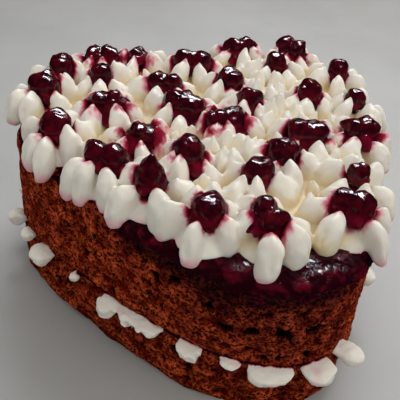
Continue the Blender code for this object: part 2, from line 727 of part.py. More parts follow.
def main():
    clear_scene()
    crumb = surface("chocolate_sponge", (0.085, 0.024, 0.010), 0.9)
    cream = surface("whipped_cream", (0.82, 0.78, 0.66), 0.5)
    jam = surface("berry_jam", (0.045, 0.004, 0.012), 0.2)
    berry = surface("berry_skin", (0.030, 0.002, 0.007), 0.15)
    rng = np.random.default_rng(SEED)
    sponge("lower_sponge", 0.0, LOWER_TOP, LOWER_EDGE, LOWER_SHARES, crumb, rng)
    sponge("upper_sponge", UPPER_FOOT, UPPER_TOP, UPPER_EDGE, UPPER_SHARES, crumb, rng)
    filling(cream)
    jam_layer(jam)
    berries = berry_list(np.random.default_rng(SEED + 1))
    cream_flowers(cream, berries, np.random.default_rng(SEED + 2))
    for number, (centre, kind, size, turn) in enumerate(berries, start=1):
        berry_body(f"berry_{number:02d}", centre, kind, size, turn, 0.0, berry)
    centre_on_origin()


main()
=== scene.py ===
"""Looks of a heart-shaped chocolate layer cake: porous sponge, piped cream flowers, berry jam and
glazed berries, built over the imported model. Lengths are in millimetres; MM turns them to metres."""

import math
from typing import NamedTuple

import bmesh
import bpy
import numpy as np
from bpy.props import FloatProperty, FloatVectorProperty, PointerProperty
from mathutils import Matrix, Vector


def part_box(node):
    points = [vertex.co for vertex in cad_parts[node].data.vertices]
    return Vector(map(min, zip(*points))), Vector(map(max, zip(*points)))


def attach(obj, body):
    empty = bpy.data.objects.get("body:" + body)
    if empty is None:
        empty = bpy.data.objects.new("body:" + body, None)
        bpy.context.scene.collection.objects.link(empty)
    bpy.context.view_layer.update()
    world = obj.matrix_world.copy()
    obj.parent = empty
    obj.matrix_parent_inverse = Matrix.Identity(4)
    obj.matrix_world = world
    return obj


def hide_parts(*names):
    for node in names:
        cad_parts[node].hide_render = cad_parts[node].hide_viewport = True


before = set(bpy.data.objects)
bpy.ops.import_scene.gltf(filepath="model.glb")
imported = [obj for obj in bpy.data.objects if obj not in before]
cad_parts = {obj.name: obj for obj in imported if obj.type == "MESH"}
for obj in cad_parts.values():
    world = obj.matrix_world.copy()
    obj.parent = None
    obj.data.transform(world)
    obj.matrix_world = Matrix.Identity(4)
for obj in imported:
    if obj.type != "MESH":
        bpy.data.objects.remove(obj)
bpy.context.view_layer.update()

bl_info = {
    "name": "Heart cake",
    "version": (1, 0, 0),
    "blender": (4, 5, 0),
    "location": "3D View > Sidebar > Cake",
    "description": "A heart-shaped chocolate cake with piped cream and berries",
    "category": "Add Mesh",
}

MM = 0.001
SEED = 31


class Layer(NamedTuple):
    """A layer of sponge: its piece and its solid, its heights, its share of the top edge's curve,
    the heights of its coarse rings, its rows of points, its seed, and whether it takes painted shade."""

    piece: str
    node: str
    foot: float
    top: float
    edge: float
    shares: tuple
    rows: int
    seed: int
    shaded: bool


# Heart outline, seen from above: the same rule as the solids
HALF_WIDTH = 97.5
LOBE_RADIUS = 54.0
POINT_REACH = 133.0
FLANK_START_DEG = -19.0
FLANK_PULL = 45.0
POINT_PULL = 38.0
CORNER_SOFTNESS = 5.2
OUTLINE_STEPS = 640
OUTLINE_WOBBLE = 0.9

# Layers, from the table up
LOWER_TOP = 29.4
UPPER_FOOT = 31.6
UPPER_TOP = 84.5
JAM_TOP = 88.0

# Where the sides lean out below the top edge: middle bearing, half width, millimetres
LEANS = ((-50, 46, 5.0), (172, 40, 2.5))
LEAN_STARTS = 73.0

# Side of a sponge
SPONGE_COUNT = 1180
SPONGE_SAMPLES = 80
EDGE_IN = 6.5
EDGE_TALL = 11.0
FOOT_IN = 1.2
FOOT_TALL = 3.0
END_IN = 0.6
CRAG = 1.9
LEAST_CRAG = 0.3
PIT_DEPTH = 4.0
PIT_SHARE = 0.07
CRUMB_OUT = 0.4
SMALL_PORE_DEPTH = 1.7
LARGE_PORE_DEPTH = 2.2
TORN_DEPTH = 4.0
WIDE_FOAM = 2.6
FINE_FOAM = 1.2
FLAT_SHARES = (0.985, 0.5)

# Large torn holes in the sponges: bearing, height, radius and depth
TORN_HOLES = (
    (-124, 22.0, 3.6, 4.2), (-119, 17.0, 3.0, 3.6), (-138, 12.0, 1.8, 3.0), (-105, 53.0, 4.2, 4.4),
    (-97, 54.0, 5.0, 4.8), (-89, 56.0, 4.6, 4.6), (-139, 71.0, 2.6, 3.6), (-116, 61.0, 3.6, 4.2),
    (-146, 75.5, 4.0, 4.6), (-162, 51.3, 3.6, 4.2), (-133, 62.6, 3.6, 4.4), (-126, 66.8, 3.4, 4.2),
    (-153, 42.8, 2.8, 3.6), (-102, 64.5, 3.2, 4.5), (-99, 61.0, 2.6, 3.6), (-93, 67.1, 2.8, 3.6),
    (-110, 41.4, 2.4, 3.2), (-70, 52.0, 2.6, 3.4), (-35, 60.0, 2.8, 3.6), (-12, 48.0, 2.4, 3.4),
    (-83, 53.5, 3.4, 4.0), (-111, 52.0, 3.4, 4.0), (24, 66.0, 3.0, 3.8), (60, 50.0, 2.4, 3.2),
    (118, 60.0, 2.8, 3.6), (141, 46.0, 2.6, 3.2), (165, 63.0, 2.6, 3.4),
)

# The two sponges, from the table up
SPONGES = (
    Layer("sponge_lower", "lower_sponge", 0.0, LOWER_TOP, 0.25,
          (0.0, 0.16, 0.55, 0.86, 1.0), 44, 500, True),
    Layer("sponge_upper", "upper_sponge", UPPER_FOOT, UPPER_TOP, 1.0,
          (0.0, 0.12, 0.4, 0.68, 0.9, 1.0), 78, 600, False),
)

# Jam that runs over the rim; its lumps start at one row of its grid and fade between two others
JAM_SKIN = 2.0
JAM_THIN = 0.9
JAM_LUMP = 0.7
JAM_EDGE = 4.0
JAM_RUN = 8.0
JAM_LEAST_DROP = 0.8
JAM_RUN_MIDDLE_DEG = -100.0
JAM_RUN_HALF_WIDTH_DEG = 58.0
JAM_SHEET = 0.3
JAM_TONGUE_DEG = -111.0
JAM_TONGUE_HALF_DEG = 13.0
JAM_TUCK = -2.5
JAM_LUMPS_MIDDLE_DEG = -92.0
JAM_LUMPS_HALF_WIDTH_DEG = 26.0
JAM_HIDDEN = -4.0
JAM_INNER = 40.0
JAM_COUNT = 760
JAM_STEPS = 8
JAM_FIRST_LUMPY_ROW = 10.0
JAM_LAST_LUMPY_ROWS = (58.0, 52.0)

# Painted shade on the crumb at the front under the run, toward the point of the heart
FRONT_SHADE = 0.55
FRONT_SHADE_MIDDLE_DEG = -98.0
FRONT_SHADE_HALF_WIDTH_DEG = 26.0

# Piped flowers: bearing about the middle of the heart, share of the way out, first fin's turn
MIDDLE_Y = -32.0
OUTER_RING = (
    (-77, 0.84, 30), (-102, 0.80, 5), (-119, 0.86, 50), (-141, 0.82, 20),
    (-161, 0.85, 40), (176, 0.87, 15), (152, 0.84, 8), (137, 0.86, 41),
    (122, 0.84, 22), (108, 0.87, 2), (87, 0.81, 30), (61, 0.81, 12),
    (41, 0.85, 38), (20, 0.85, 4), (-2, 0.82, 27), (-28, 0.80, 46), (-61, 0.80, 9),
)
INNER_RING = (
    (-78, 0.42, 35), (-99, 0.50, 12), (-137, 0.52, 3), (-169, 0.57, 25),
    (160, 0.55, 44), (135, 0.66, 17), (120, 0.41, 51), (150, 0.20, 8),
    (-117, 0.09, 33), (-42, 0.49, 24), (9, 0.53, 2), (42, 0.62, 40),
    (64, 0.34, 15), (27, 0.16, 55),
)
PLAIN_FLOWERS = ((36, 0.39, 22), (-8, 0.35, 10), (-111, 0.30, 28))
FINS = 6

# Bearings of the fins of the first seven flowers, which stand at the front and the left
FRONT_FINS_DEG = (
    (-150, -60, -10, 38, 88, 150), (-116, -66, -16, 40, 100, 160), (-131, -58, 3, 58, 110, 163),
    (-166, -92, -25, 35, 88, 140), (-177, -148, -103, -45, 40, 110), (-165, -122, -71, -5, 60, 128),
    (-163, -120, -60, 5, 70, 135),
)

# Fins, the bed under them and the mound in the middle of each flower
FIN_LEAST = 12.0
FIN_MOST = 20.0
FIN_OVERLAP = 2.2
FIN_CREST = 15.5
FIN_HALF_THICKNESS = 4.6
FIN_SLIMNESS = 0.36
FIN_TURN_SPREAD_DEG = 4.0
FLAT_INSET = 7.0
FIN_START = 1.5
FIN_ROWS = 30
FIN_COUNT = 26
RIM_DROOP = 0.03
OVERHANG = 12.5
BED_COUNT = 220
BED_INSET = 17.0
BED_DEPTH = 3.4
DOME_REACH = 12.6
DOME_HEIGHT = 8.0
DOME_SUNK = 1.5
DOME_COUNT = 24
DOME_SHARES = (1.0, 0.94, 0.78, 0.55, 0.3, 0.04)
CREAM_VOXEL = 0.6
CREAM_TRIANGLES = 194000

# Places between the flowers where short fins of cream meet, and the sizes of those fins
GAP_PLACES = (
    (26, 17), (10, -92), (48, -44), (-24, -41), (-29, 21), (41, -75), (-27, -80), (62, -8), (11, -52),
)
GAP_FINS = 3
GAP_REACH = 9.5
GAP_CREST = 11.5
GAP_HALF = 3.4
GAP_PEAK = 0.4

# Berries: one word and one size a flower, in the order of the two rings
OUTER_BERRIES = (
    "pair ragged round peaked pair round round round spread smear long spread "
    "ragged round small spread small"
)
INNER_BERRIES = (
    "round small tall flat spread small long heap spread long round small round small"
)
BERRY_SIZES = (
    1.07, 1.08, 1.1, 1.06, 1.07, 1.15, 1.22, 1.1, 1.2, 1.25, 1.18, 1.3, 1.3, 1.0, 1.15, 1.18, 1.02,
    1.2, 1.24, 1.14, 1.15, 1.2, 1.2, 0.95, 1.08, 1.24, 1.12, 1.14, 1.3, 1.22, 1.42,
)
BERRY_HEIGHT = 13.4
BERRY_RADIUS = 5.9
BERRY_SOFTNESS = 14
LONG_AXIS_DEG = -30.0
SYRUP_COAT_IOR = 1.95
POOL_HEIGHT = 11.4
POOL_HALF_HEIGHT = 3.2

# Rows and points round of a berry and of the jam it sits in
BERRY_GRID = (30, 40)
POOL_GRID = (20, 80)

# For each kind of berry: how deep its wrinkles are, how far its juice spreads into the cream,
# and how wide its jam lies
WRINKLES = {"ragged": 2.4, "spread": 2.4, "flat": 2.4, "heap": 1.8, "small": 1.8}
SMOOTH_WRINKLES = 1.4
JUICE_REACH = {
    "round": 2.4, "small": 2.0, "tall": 3.6, "peaked": 2.2, "pair": 3.2, "long": 2.8,
    "spread": 4.6, "ragged": 4.0, "flat": 6.0, "heap": 3.4, "smear": 6.5,
}
POOL_RADIUS = {
    "round": 6.0, "small": 4.6, "tall": 7.6, "peaked": 6.0, "pair": 7.4, "long": 7.4,
    "spread": 8.6, "ragged": 7.4, "flat": 7.2, "heap": 8.6, "smear": 6.6,
}

# Fins of the filling at the seam: bearing, reach, width, height, lift, skew
SEAM_FINS = (
    (-98, 4.5, 21.0, 8.0, 0.0, -0.5), (-86, 7.0, 16.0, 10.0, 1.0, 0.6),
    (-77, 9.5, 11.0, 10.0, 3.0, 0.3), (-108, 1.6, 11.0, 3.4, 0.0, 0.0),
    (-120, 3.8, 12.0, 7.5, 0.0, 0.2), (-134, 2.6, 16.0, 6.5, 0.0, 0.2),
    (-142, 3.6, 11.0, 9.0, 0.0, 0.0), (-150, 6.0, 12.0, 11.5, 0.0, -0.3),
    (-167, 2.0, 5.0, 4.5, 0.0, 0.0), (178, 6.5, 13.0, 9.5, 2.0, 0.3),
    (169, 3.5, 8.0, 8.0, 2.0, 0.0), (161, 6.0, 9.0, 11.0, 4.0, 0.0),
    (150, 4.5, 8.0, 8.0, 4.0, 0.0), (-46, 5.0, 11.0, 9.0, 3.0, 0.0),
    (-22, 5.0, 12.0, 8.0, 2.0, 0.2), (5, 4.0, 10.0, 8.0, 1.0, -0.2),
    (32, 5.5, 11.0, 9.0, 2.0, 0.0), (58, 4.0, 13.0, 7.0, 1.0, 0.3),
    (115, 4.5, 11.0, 8.0, 1.5, 0.0), (132, 5.0, 10.0, 9.0, 2.0, -0.2),
)
SEAM_ROWS = 24
SEAM_COUNT = 40

# The seam's cream turns torn from the first of these bearings to the second
TORN_SEAM_DEG = (-105.0, -125.0)

# Disk of cream between the sponges
FILLING_COUNT = 300
FILLING_INSET = 6.0
FILLING_PRESS = 0.7
FILLING_INNER = 30.0
FILLING_RIPPLE = 0.3
FILLING_VOXEL = 0.65
FILLING_TRIANGLES = 120000

# Seeds of the noise on each part, which takes the numbers after its own too
JAM_SEED = 40
STAIN_SEED = 56
SYRUP_SEED = 58
VALLEY_SHADE_SEED = 61
SOAK_SEED = 70
CREAM_SEED = 77
JUICE_SEED = 91
FILLING_SEED = 97
SEAM_SEED = 300

# Camera: bearing, elevation and roll in degrees, lens and sensor in millimetres, and its place
# from the middle of the line between the centres of the two lobes
CAMERA_BEARING_DEG = -25.22
CAMERA_ELEVATION_DEG = 38.53
CAMERA_ROLL_DEG = 6.26
CAMERA_LENS = 47.75
CAMERA_SENSOR = 36.0
CAMERA_PLACE = (-103.9, -232.7, 225.1)

# Lights: name, direction, distance, width and height in metres, watts, colour, and the kind of
# ray that doesn't see it
LAMPS = (
    ("window", (0.75, 0.66, 0.9), 0.9, 0.4, 0.4, 2.4, (1.0, 0.985, 0.97), None),
    ("sky", (-0.15, 0.1, 1.0), 1.1, 1.0, 1.0, 2.4, (0.96, 0.975, 1.0), "glossy"),
    ("fill", (0.35, -0.75, 0.95), 1.1, 0.8, 0.8, 2.9, (1.0, 0.96, 0.9), "glossy"),
    ("glint", (0.3, 0.45, 1.0), 0.8, 0.5, 0.2, 38.0, (0.93, 0.95, 1.0), "diffuse"),
)
LAMP_TARGET = (0.0, 0.0, 0.06)
WORLD_STRENGTH = 0.54
FLOOR_HALF = 4.0


def linear(code):
    """An sRGB hex colour as linear red, green and blue."""
    parts = [int(code[k : k + 2], 16) / 255.0 for k in (1, 3, 5)]
    return [p / 12.92 if p <= 0.04045 else ((p + 0.055) / 1.055) ** 2.4 for p in parts]


def sized(name, text, default, least=0.0):
    """A length in millimetres for the sidebar."""
    return FloatProperty(name=name, description=text, default=default, min=least)


def coloured(name, text, code):
    """A colour for the sidebar."""
    return FloatVectorProperty(
        name=name, description=text, subtype="COLOR", size=3, min=0.0, max=1.0, default=linear(code)
    )


class CakeSizes(bpy.types.PropertyGroup):
    """Sizes that change the relief, in millimetres."""

    crumb: sized("Crumb depth", "Height of the rough crumb between pores, mm", 1.2)
    pore: sized("Pore spacing", "Distance between the common pores of the sponge, mm", 2.4, 1.0)
    cream_ripple: sized("Cream ripple", "Height of the soft ripples on the piped fins, mm", 0.35)
    jam_lumps: sized("Jam lumps", "Height of the fruit lumps in the jam, mm", 1.9)
    berry_ripple: sized("Berry ripple", "Height of the wrinkles in the berries' glaze, mm", 0.75)


class CakeColours(bpy.types.PropertyGroup):
    """Colours of the cake's foods."""

    crumb: coloured("Crumb", "Lit crumb of the sponge", "#E05E34")
    crust: coloured("Crust", "Darker, redder patches of the sponge", "#6C1707")
    # Painted shade: the near-black colour put in the pores and the modelled hollows of the crumb
    pore: coloured("Pore", "Inside of the pores", "#0E0100")
    cream: coloured("Cream", "Whipped cream", "#EDE8DD")
    # Painted shade: the dimmer, yellower colour of the cream low in the valleys between the fins
    hollow: coloured("Hollow", "Cream in the hollows between fins", "#E9D7AE")
    juice: coloured("Juice", "Berry juice soaked into cream", "#96112F")
    blush: coloured("Blush", "Thin edge of the juice in cream", "#E696A6")
    jam: coloured("Jam", "Thick jam", "#2A0510")
    jam_thin: coloured("Thin jam", "Jam where light passes", "#7A0F26")
    # Jam soaked into the crumb under the run, and also painted shade on the front toward the point
    film_and_shade: coloured("Film", "Jam soaked into the crumb", "#33101C")
    berry: coloured("Berry", "Skin of the berries under the glaze", "#4C0814")
    floor: coloured("Floor", "Studio floor", "#999895")


def half_heart():
    """Points from the notch round the right lobe (an arc) and down the flank (a cubic curve)."""
    centre_x = HALF_WIDTH - LOBE_RADIUS
    notch_y = math.sqrt(LOBE_RADIUS**2 - centre_x**2)
    start = math.atan2(notch_y, -centre_x)
    end = math.radians(FLANK_START_DEG)
    turn = np.linspace(start, end, 80)
    arc = np.stack([centre_x + LOBE_RADIUS * np.cos(turn), LOBE_RADIUS * np.sin(turn)], 1)
    p0 = arc[-1]
    p1 = p0 + np.array([math.sin(end), -math.cos(end)]) * FLANK_PULL
    p3 = np.array([0.0, -POINT_REACH])
    p2 = p3 + np.array([POINT_PULL, 0.0])
    t = np.linspace(0.0, 1.0, 80)[1:, None]
    flank = (1 - t) ** 3 * p0 + 3 * t * (1 - t) ** 2 * p1 + 3 * t * t * (1 - t) * p2 + t**3 * p3
    return np.concatenate([arc, flank])


def spread_evenly(loop, count):
    """The same closed loop with points at equal steps along it."""
    ring = np.vstack([loop, loop[:1]])
    step = np.linalg.norm(np.diff(ring, axis=0), axis=1)
    along = np.concatenate([[0.0], np.cumsum(step)])
    at = np.linspace(0.0, along[-1], count + 1)[:-1]
    return np.stack([np.interp(at, along, ring[:, k]) for k in (0, 1)], 1)


def heart_outline():
    """The outline, counter-clockwise from the notch, its corners softened by a Gaussian."""
    right = half_heart()
    left = right[::-1][1:-1] * np.array([-1.0, 1.0])
    loop = spread_evenly(np.concatenate([right, left])[::-1], OUTLINE_STEPS)
    length = np.linalg.norm(np.roll(loop, -1, 0) - loop, axis=1).sum()
    waves = np.fft.fftfreq(OUTLINE_STEPS, length / OUTLINE_STEPS)
    soft = np.exp(-2.0 * (math.pi * waves * CORNER_SOFTNESS) ** 2)
    bent = np.fft.ifft(np.fft.fft(loop[:, 0] + 1j * loop[:, 1]) * soft)
    return spread_evenly(np.stack([bent.real, bent.imag], 1), OUTLINE_STEPS)


def outward(loop):
    """Unit vectors that point out of a counter-clockwise loop."""
    run = np.roll(loop, -2, 0) - np.roll(loop, 2, 0)
    run /= np.linalg.norm(run, axis=1)[:, None]
    return np.stack([run[:, 1], -run[:, 0]], 1)


def bearings_of(points):
    """Bearings of points about the middle of the heart, in degrees."""
    return np.degrees(np.arctan2(points[..., 1] - MIDDLE_Y, points[..., 0]))


def turn_from(middle, bearings):
    """Degrees from a middle bearing to others, between -180 and 180."""
    return (bearings - middle + 180.0) % 360.0 - 180.0


OUTLINE = heart_outline()
OUTWARD = outward(OUTLINE)
BEARING = bearings_of(OUTLINE)


def wrap_interp(at, values):
    """Values at fractional positions round a closed list, along its first axis."""
    low = np.floor(at).astype(int)
    part = (at - low).reshape(-1, *([1] * (values.ndim - 1)))
    count = len(values)
    return values[low % count] * (1.0 - part) + values[(low + 1) % count] * part


def sample(count):
    """Points, outward vectors and bearings at equal steps round the wavering outline."""
    at = np.arange(count) * OUTLINE_STEPS / count
    points = wrap_interp(at, OUTLINE)
    normals = wrap_interp(at, OUTWARD)
    bearings = bearings_of(points)
    side = OUTLINE_WOBBLE * np.sin(np.radians(bearings * 3.0 + 40.0))
    side += 0.5 * OUTLINE_WOBBLE * np.sin(np.radians(bearings * 7.0))
    side = np.sqrt(side**2 + 0.01)
    return points - normals * side[:, None], normals, bearings


def rim_place(bearing):
    """The outline's point nearest to this bearing about the middle, and its outward vector."""
    nearest = int(np.argmin(np.abs(turn_from(bearing, BEARING))))
    return OUTLINE[nearest], OUTWARD[nearest]


def rim_excess(points):
    """How far each point stands outside the flat of the top, in plan."""
    apart = points[:, None, :] - OUTLINE[None, ::8, :]
    nearest = np.argmin((apart**2).sum(2), axis=1)
    rows = np.arange(len(points))
    return FLAT_INSET + (apart[rows, nearest] * OUTWARD[::8][nearest]).sum(1)


def lattice(cell, seed):
    """A fixed random number from 0 to 1 for every whole-number cell."""
    mixed = cell[..., 0] * 374761393 + cell[..., 1] * 668265263 + cell[..., 2] * 2147483647
    mixed = (mixed + seed * 974711) & 0xFFFFFFFF
    mixed = ((mixed ^ (mixed >> 13)) * 1274126177) & 0xFFFFFFFF
    return ((mixed ^ (mixed >> 16)) & 0xFFFF) / 65535.0


def ripple(points, size, seed):
    """Smooth noise from -1 to 1: random numbers on a lattice, blended by x*x*(3-2x)."""
    scaled = points / size
    cell = np.floor(scaled).astype(np.int64)
    part = scaled - cell
    part = part * part * (3.0 - 2.0 * part)
    total = np.zeros(points.shape[:-1])
    for corner in np.ndindex(2, 2, 2):
        weight = np.prod(np.where(np.array(corner) == 1, part, 1.0 - part), axis=-1)
        total += weight * lattice(cell + np.array(corner), seed)
    return 2.0 * total - 1.0


def bend(points, amount, size, seed):
    """Points moved in all three directions by smooth noise, so that what is drawn on them wavers."""
    return points + amount * np.stack([ripple(points, size, seed + k) for k in range(3)], -1)


def pores(points, size, seed, least, most):
    """Round hollows, one in each lattice cell: 1 in a hollow's middle, 0 past its radius."""
    cell = np.floor(points / size).astype(np.int64)
    deepest = np.zeros(points.shape[:-1])
    for step in np.ndindex(3, 3, 3):
        near = cell + np.array(step) - 1
        middle = near + np.stack([lattice(near, seed + k) for k in range(3)], -1)
        radius = least + (most - least) * lattice(near, seed + 3) ** 2
        away = ((points - middle * size) ** 2).sum(-1)
        deepest = np.maximum(deepest, 1.0 - away / np.maximum(radius**2, 1e-6))
    return np.clip(deepest, 0.0, 1.0)


def full_turn(count):
    """Angles at equal steps once round, as one row."""
    return np.linspace(0.0, 2.0 * math.pi, count, endpoint=False)[None, :]


def smoothstep(low, high, values):
    """0 below low, 1 above high, and a smooth rise between."""
    t = np.clip((values - low) / (high - low), 0.0, 1.0)
    return t * t * (3.0 - 2.0 * t)


def frame_shift():
    """Where the outline's origin stands in the frame: from a round berry's box and its place."""
    low, high = (np.array(corner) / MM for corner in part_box("berry_03"))
    middle = 0.5 * (low + high)
    place = flower_places()[2][0]
    return np.array([middle[0] - place[0], middle[1] - place[1], 0.0])


def ring_faces(rows, count, first):
    """Quads between rings of the same number of points, and a fan at either end, as point numbers
    from first on."""
    j = np.arange(count)
    n = (j + 1) % count
    i = np.arange(rows - 1)[:, None] * count
    quads = np.stack([i + j, i + n, i + count + n, i + count + j], -1).reshape(-1, 4)
    last = (rows - 1) * count
    low = np.stack([np.full(count, rows * count), n, j], 1)
    high = np.stack([np.full(count, rows * count + 1), last + j, last + n], 1)
    return [face for part in (quads, low, high) for face in (part + first).tolist()]


def bodies_from_rings(name, grids, look):
    """An object at the origin, moved to the frame's place: one closed body through each grid of
    rings[i, j], its ends closed by fans about their middles."""
    points, faces, first = [], [], 0
    for rings in grids:
        points.append(np.concatenate([rings.reshape(-1, 3), rings[[0, -1]].mean(axis=1)]))
        faces += ring_faces(*rings.shape[:2], first)
        first += len(points[-1])
    mesh = bpy.data.meshes.new(name)
    mesh.from_pydata(((np.concatenate(points) + SHIFT) * MM).tolist(), [], faces)
    mesh.update()
    made = bpy.data.objects.new(name, mesh)
    bpy.context.scene.collection.objects.link(made)
    mesh.materials.append(look)
    work = bmesh.new()
    work.from_mesh(mesh)
    bmesh.ops.recalc_face_normals(work, faces=work.faces)
    work.to_mesh(mesh)
    work.free()
    mesh.shade_smooth()
    return made


def mesh_points(thing):
    """The mesh's points in the outline's millimetres."""
    co = np.empty(len(thing.data.vertices) * 3)
    thing.data.vertices.foreach_get("co", co)
    return co.reshape(-1, 3) / MM - SHIFT


def paint(thing, name, values):
    """Stores one number a point for the material."""
    layer = thing.data.attributes.new(name, "FLOAT", "POINT")
    layer.data.foreach_set("value", np.ascontiguousarray(values, dtype=np.float32))


def paint_rings(thing, name, values, ends=(0.0, 0.0)):
    """The same for a body from one grid of rings, whose last two points close its ends."""
    paint(thing, name, np.concatenate([values.ravel(), ends]))


def settle(piece, slot, *nodes):
    """Rides the piece on the cake and hides the solids it stands for; the slot is not used."""
    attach(piece, "root")
    if nodes:
        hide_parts(*nodes)


def add(tree, kind, links=None, **settings):
    """Adds a node, sets its properties, and fills or links its inputs."""
    node = tree.nodes.new(kind)
    for name, value in settings.items():
        setattr(node, name, value)
    for key, value in (links or {}).items():
        if isinstance(value, bpy.types.NodeSocket):
            tree.links.new(value, node.inputs[key])
        else:
            node.inputs[key].default_value = value
    return node


def new_look(name, inputs):
    """A node material with its output and a Principled shader that has these inputs."""
    look = bpy.data.materials.new(name)
    look.use_nodes = True
    tree = look.node_tree
    tree.nodes.clear()
    shader = add(tree, "ShaderNodeBsdfPrincipled", inputs)
    add(tree, "ShaderNodeOutputMaterial", {"Surface": shader.outputs["BSDF"]})
    return look, tree, shader


def mix_colour(tree, share, first, second):
    """Blends two colours, given as sockets or as linear colours, by a share."""
    node = add(tree, "ShaderNodeMix", {0: share}, data_type="RGBA")
    for key, value in ((6, first), (7, second)):
        if isinstance(value, bpy.types.NodeSocket):
            tree.links.new(value, node.inputs[key])
        else:
            node.inputs[key].default_value = (*value, 1.0)
    return node.outputs[2]


def stretch(tree, value, low, high, to_low=0.0, to_high=1.0):
    """Maps a value's range onto another, clamped."""
    node = add(tree, "ShaderNodeMapRange", {
        "Value": value, "From Min": low, "From Max": high, "To Min": to_low, "To Max": to_high,
    })
    return node.outputs["Result"]


def object_noise(tree, size, detail=3.0, roughness=0.55):
    """Noise on Object coordinates whose features are about this many millimetres."""
    place = add(tree, "ShaderNodeTexCoord").outputs["Object"]
    node = add(tree, "ShaderNodeTexNoise", {
        "Vector": place, "Scale": 1.0 / (size * MM), "Detail": detail, "Roughness": roughness,
    })
    return node.outputs["Fac"]


def pore_walls(tree, size):
    """Foam with a pore about every so many millimetres: the distance to scattered points, measured
    on coordinates that noise has bent, so 0 in a pore and 1 on the walls between."""
    place = add(tree, "ShaderNodeTexCoord").outputs["Object"]
    noise = add(tree, "ShaderNodeTexNoise", {
        "Vector": place, "Scale": 0.8 / (size * MM), "Detail": 2.0,
    })
    shift = add(tree, "ShaderNodeVectorMath", {
        0: noise.outputs["Color"], "Scale": 1.3 * size * MM,
    }, operation="SCALE")
    bent = add(tree, "ShaderNodeVectorMath", {0: place, 1: shift.outputs[0]}, operation="ADD")
    cells = add(tree, "ShaderNodeTexVoronoi", {
        "Vector": bent.outputs[0], "Scale": 1.0 / (size * MM),
    })
    return stretch(tree, cells.outputs["Distance"], 0.2, 0.66)


def bump(tree, shader, height, depth, strength=1.0):
    """Small relief of this depth in millimetres."""
    node = add(tree, "ShaderNodeBump", {"Height": height, "Distance": depth * MM, "Strength": strength})
    tree.links.new(node.outputs["Normal"], shader.inputs["Normal"])


def attribute(tree, name):
    """The number that the mesh stores for each point."""
    return add(tree, "ShaderNodeAttribute", attribute_name=name).outputs["Fac"]


def chocolate_crumb(colours, shaded):
    """Baked chocolate sponge, torn at the side: matte, with lit walls between pores of two sizes painted
    black as shade, painted shade in the modelled holes and on the front, and a jam stain under the run."""
    look, tree, shader = new_look("chocolate_crumb_shaded" if shaded else "chocolate_crumb", {
        "Roughness": 0.95, "Specular IOR Level": 0.02,
    })
    patches = stretch(tree, object_noise(tree, 7.0), 0.36, 0.62)
    wide = pore_walls(tree, WIDE_FOAM)
    fine = pore_walls(tree, FINE_FOAM)
    walls = add(tree, "ShaderNodeMath", {0: wide, 1: fine}, operation="MULTIPLY").outputs[0]
    walls = stretch(tree, walls, 0.0, 0.75)
    tone = mix_colour(tree, patches, colours.crust, colours.crumb)
    # Painted shade: the pores go from crust to the near-black pore colour, and the walls' mask puts that
    # shade in each pore
    deep = mix_colour(tree, fine, colours.pore, colours.crust)
    shade = mix_colour(tree, walls, deep, tone)
    # Painted shade in the modelled hollows, from the stored pore number
    shade = mix_colour(tree, attribute(tree, "pore"), shade, colours.pore)
    # Jam stain under the run, and painted shade on the front near the point, both from the stored number
    film_and_shade = mix_colour(tree, walls, colours.pore, colours.film_and_shade)
    shade = mix_colour(tree, attribute(tree, "soak_and_shade"), shade, film_and_shade)
    # Painted shade: the lower sponge's copy of the crumb is mixed a little toward the pore colour
    if shaded:
        shade = mix_colour(tree, 0.12, shade, colours.pore)
    tree.links.new(shade, shader.inputs["Base Color"])
    relief = add(tree, "ShaderNodeMath", {0: wide, 1: fine}, operation="ADD").outputs[0]
    bump(tree, shader, relief, 0.6)
    return look


def whipped_cream(colours):
    """Whipped cream: near white, light scatters a few millimetres in, soft sheen, juice stains, painted
    shade low in the valleys.
    """
    look, tree, shader = new_look("whipped_cream", {
        "IOR": 1.4, "Specular IOR Level": 0.12, "Subsurface Weight": 0.35,
        "Subsurface Radius": (1.0, 0.75, 0.45), "Subsurface Scale": 3.0 * MM,
    })
    juice = attribute(tree, "juice")
    # Painted shade in the valleys, from the stored hollow number
    white = mix_colour(tree, attribute(tree, "hollow"), colours.cream, colours.hollow)
    blush = mix_colour(tree, stretch(tree, juice, 0.04, 0.32), white, colours.blush)
    stained = mix_colour(tree, stretch(tree, juice, 0.3, 0.62), blush, colours.juice)
    stained = mix_colour(tree, stretch(tree, juice, 0.66, 0.95), stained, colours.jam)
    tree.links.new(stained, shader.inputs["Base Color"])
    tree.links.new(stretch(tree, juice, 0.3, 0.8, 0.5, 0.2), shader.inputs["Roughness"])
    bump(tree, shader, object_noise(tree, 1.4, 4.0, 0.6), 0.12, 0.7)
    return look


def berry_jam(colours):
    """Thick berry jam: maroon to nearly black, red where it is thin, wet over the fruit. The coat
    has a high index and a low weight, for small bright glints with no grey between them."""
    look, tree, shader = new_look("berry_jam", {
        "Roughness": 0.18, "IOR": 1.4, "Specular IOR Level": 0.12,
        "Coat Weight": 0.06, "Coat Roughness": 0.04, "Coat IOR": SYRUP_COAT_IOR,
    })
    thin = stretch(tree, object_noise(tree, 5.0), 0.54, 0.8)
    deep = mix_colour(tree, thin, colours.jam, colours.jam_thin)
    shade = mix_colour(tree, attribute(tree, "thin"), deep, colours.juice)
    tree.links.new(shade, shader.inputs["Base Color"])
    bump(tree, shader, object_noise(tree, 2.2, 4.0, 0.6), 1.3)
    return look


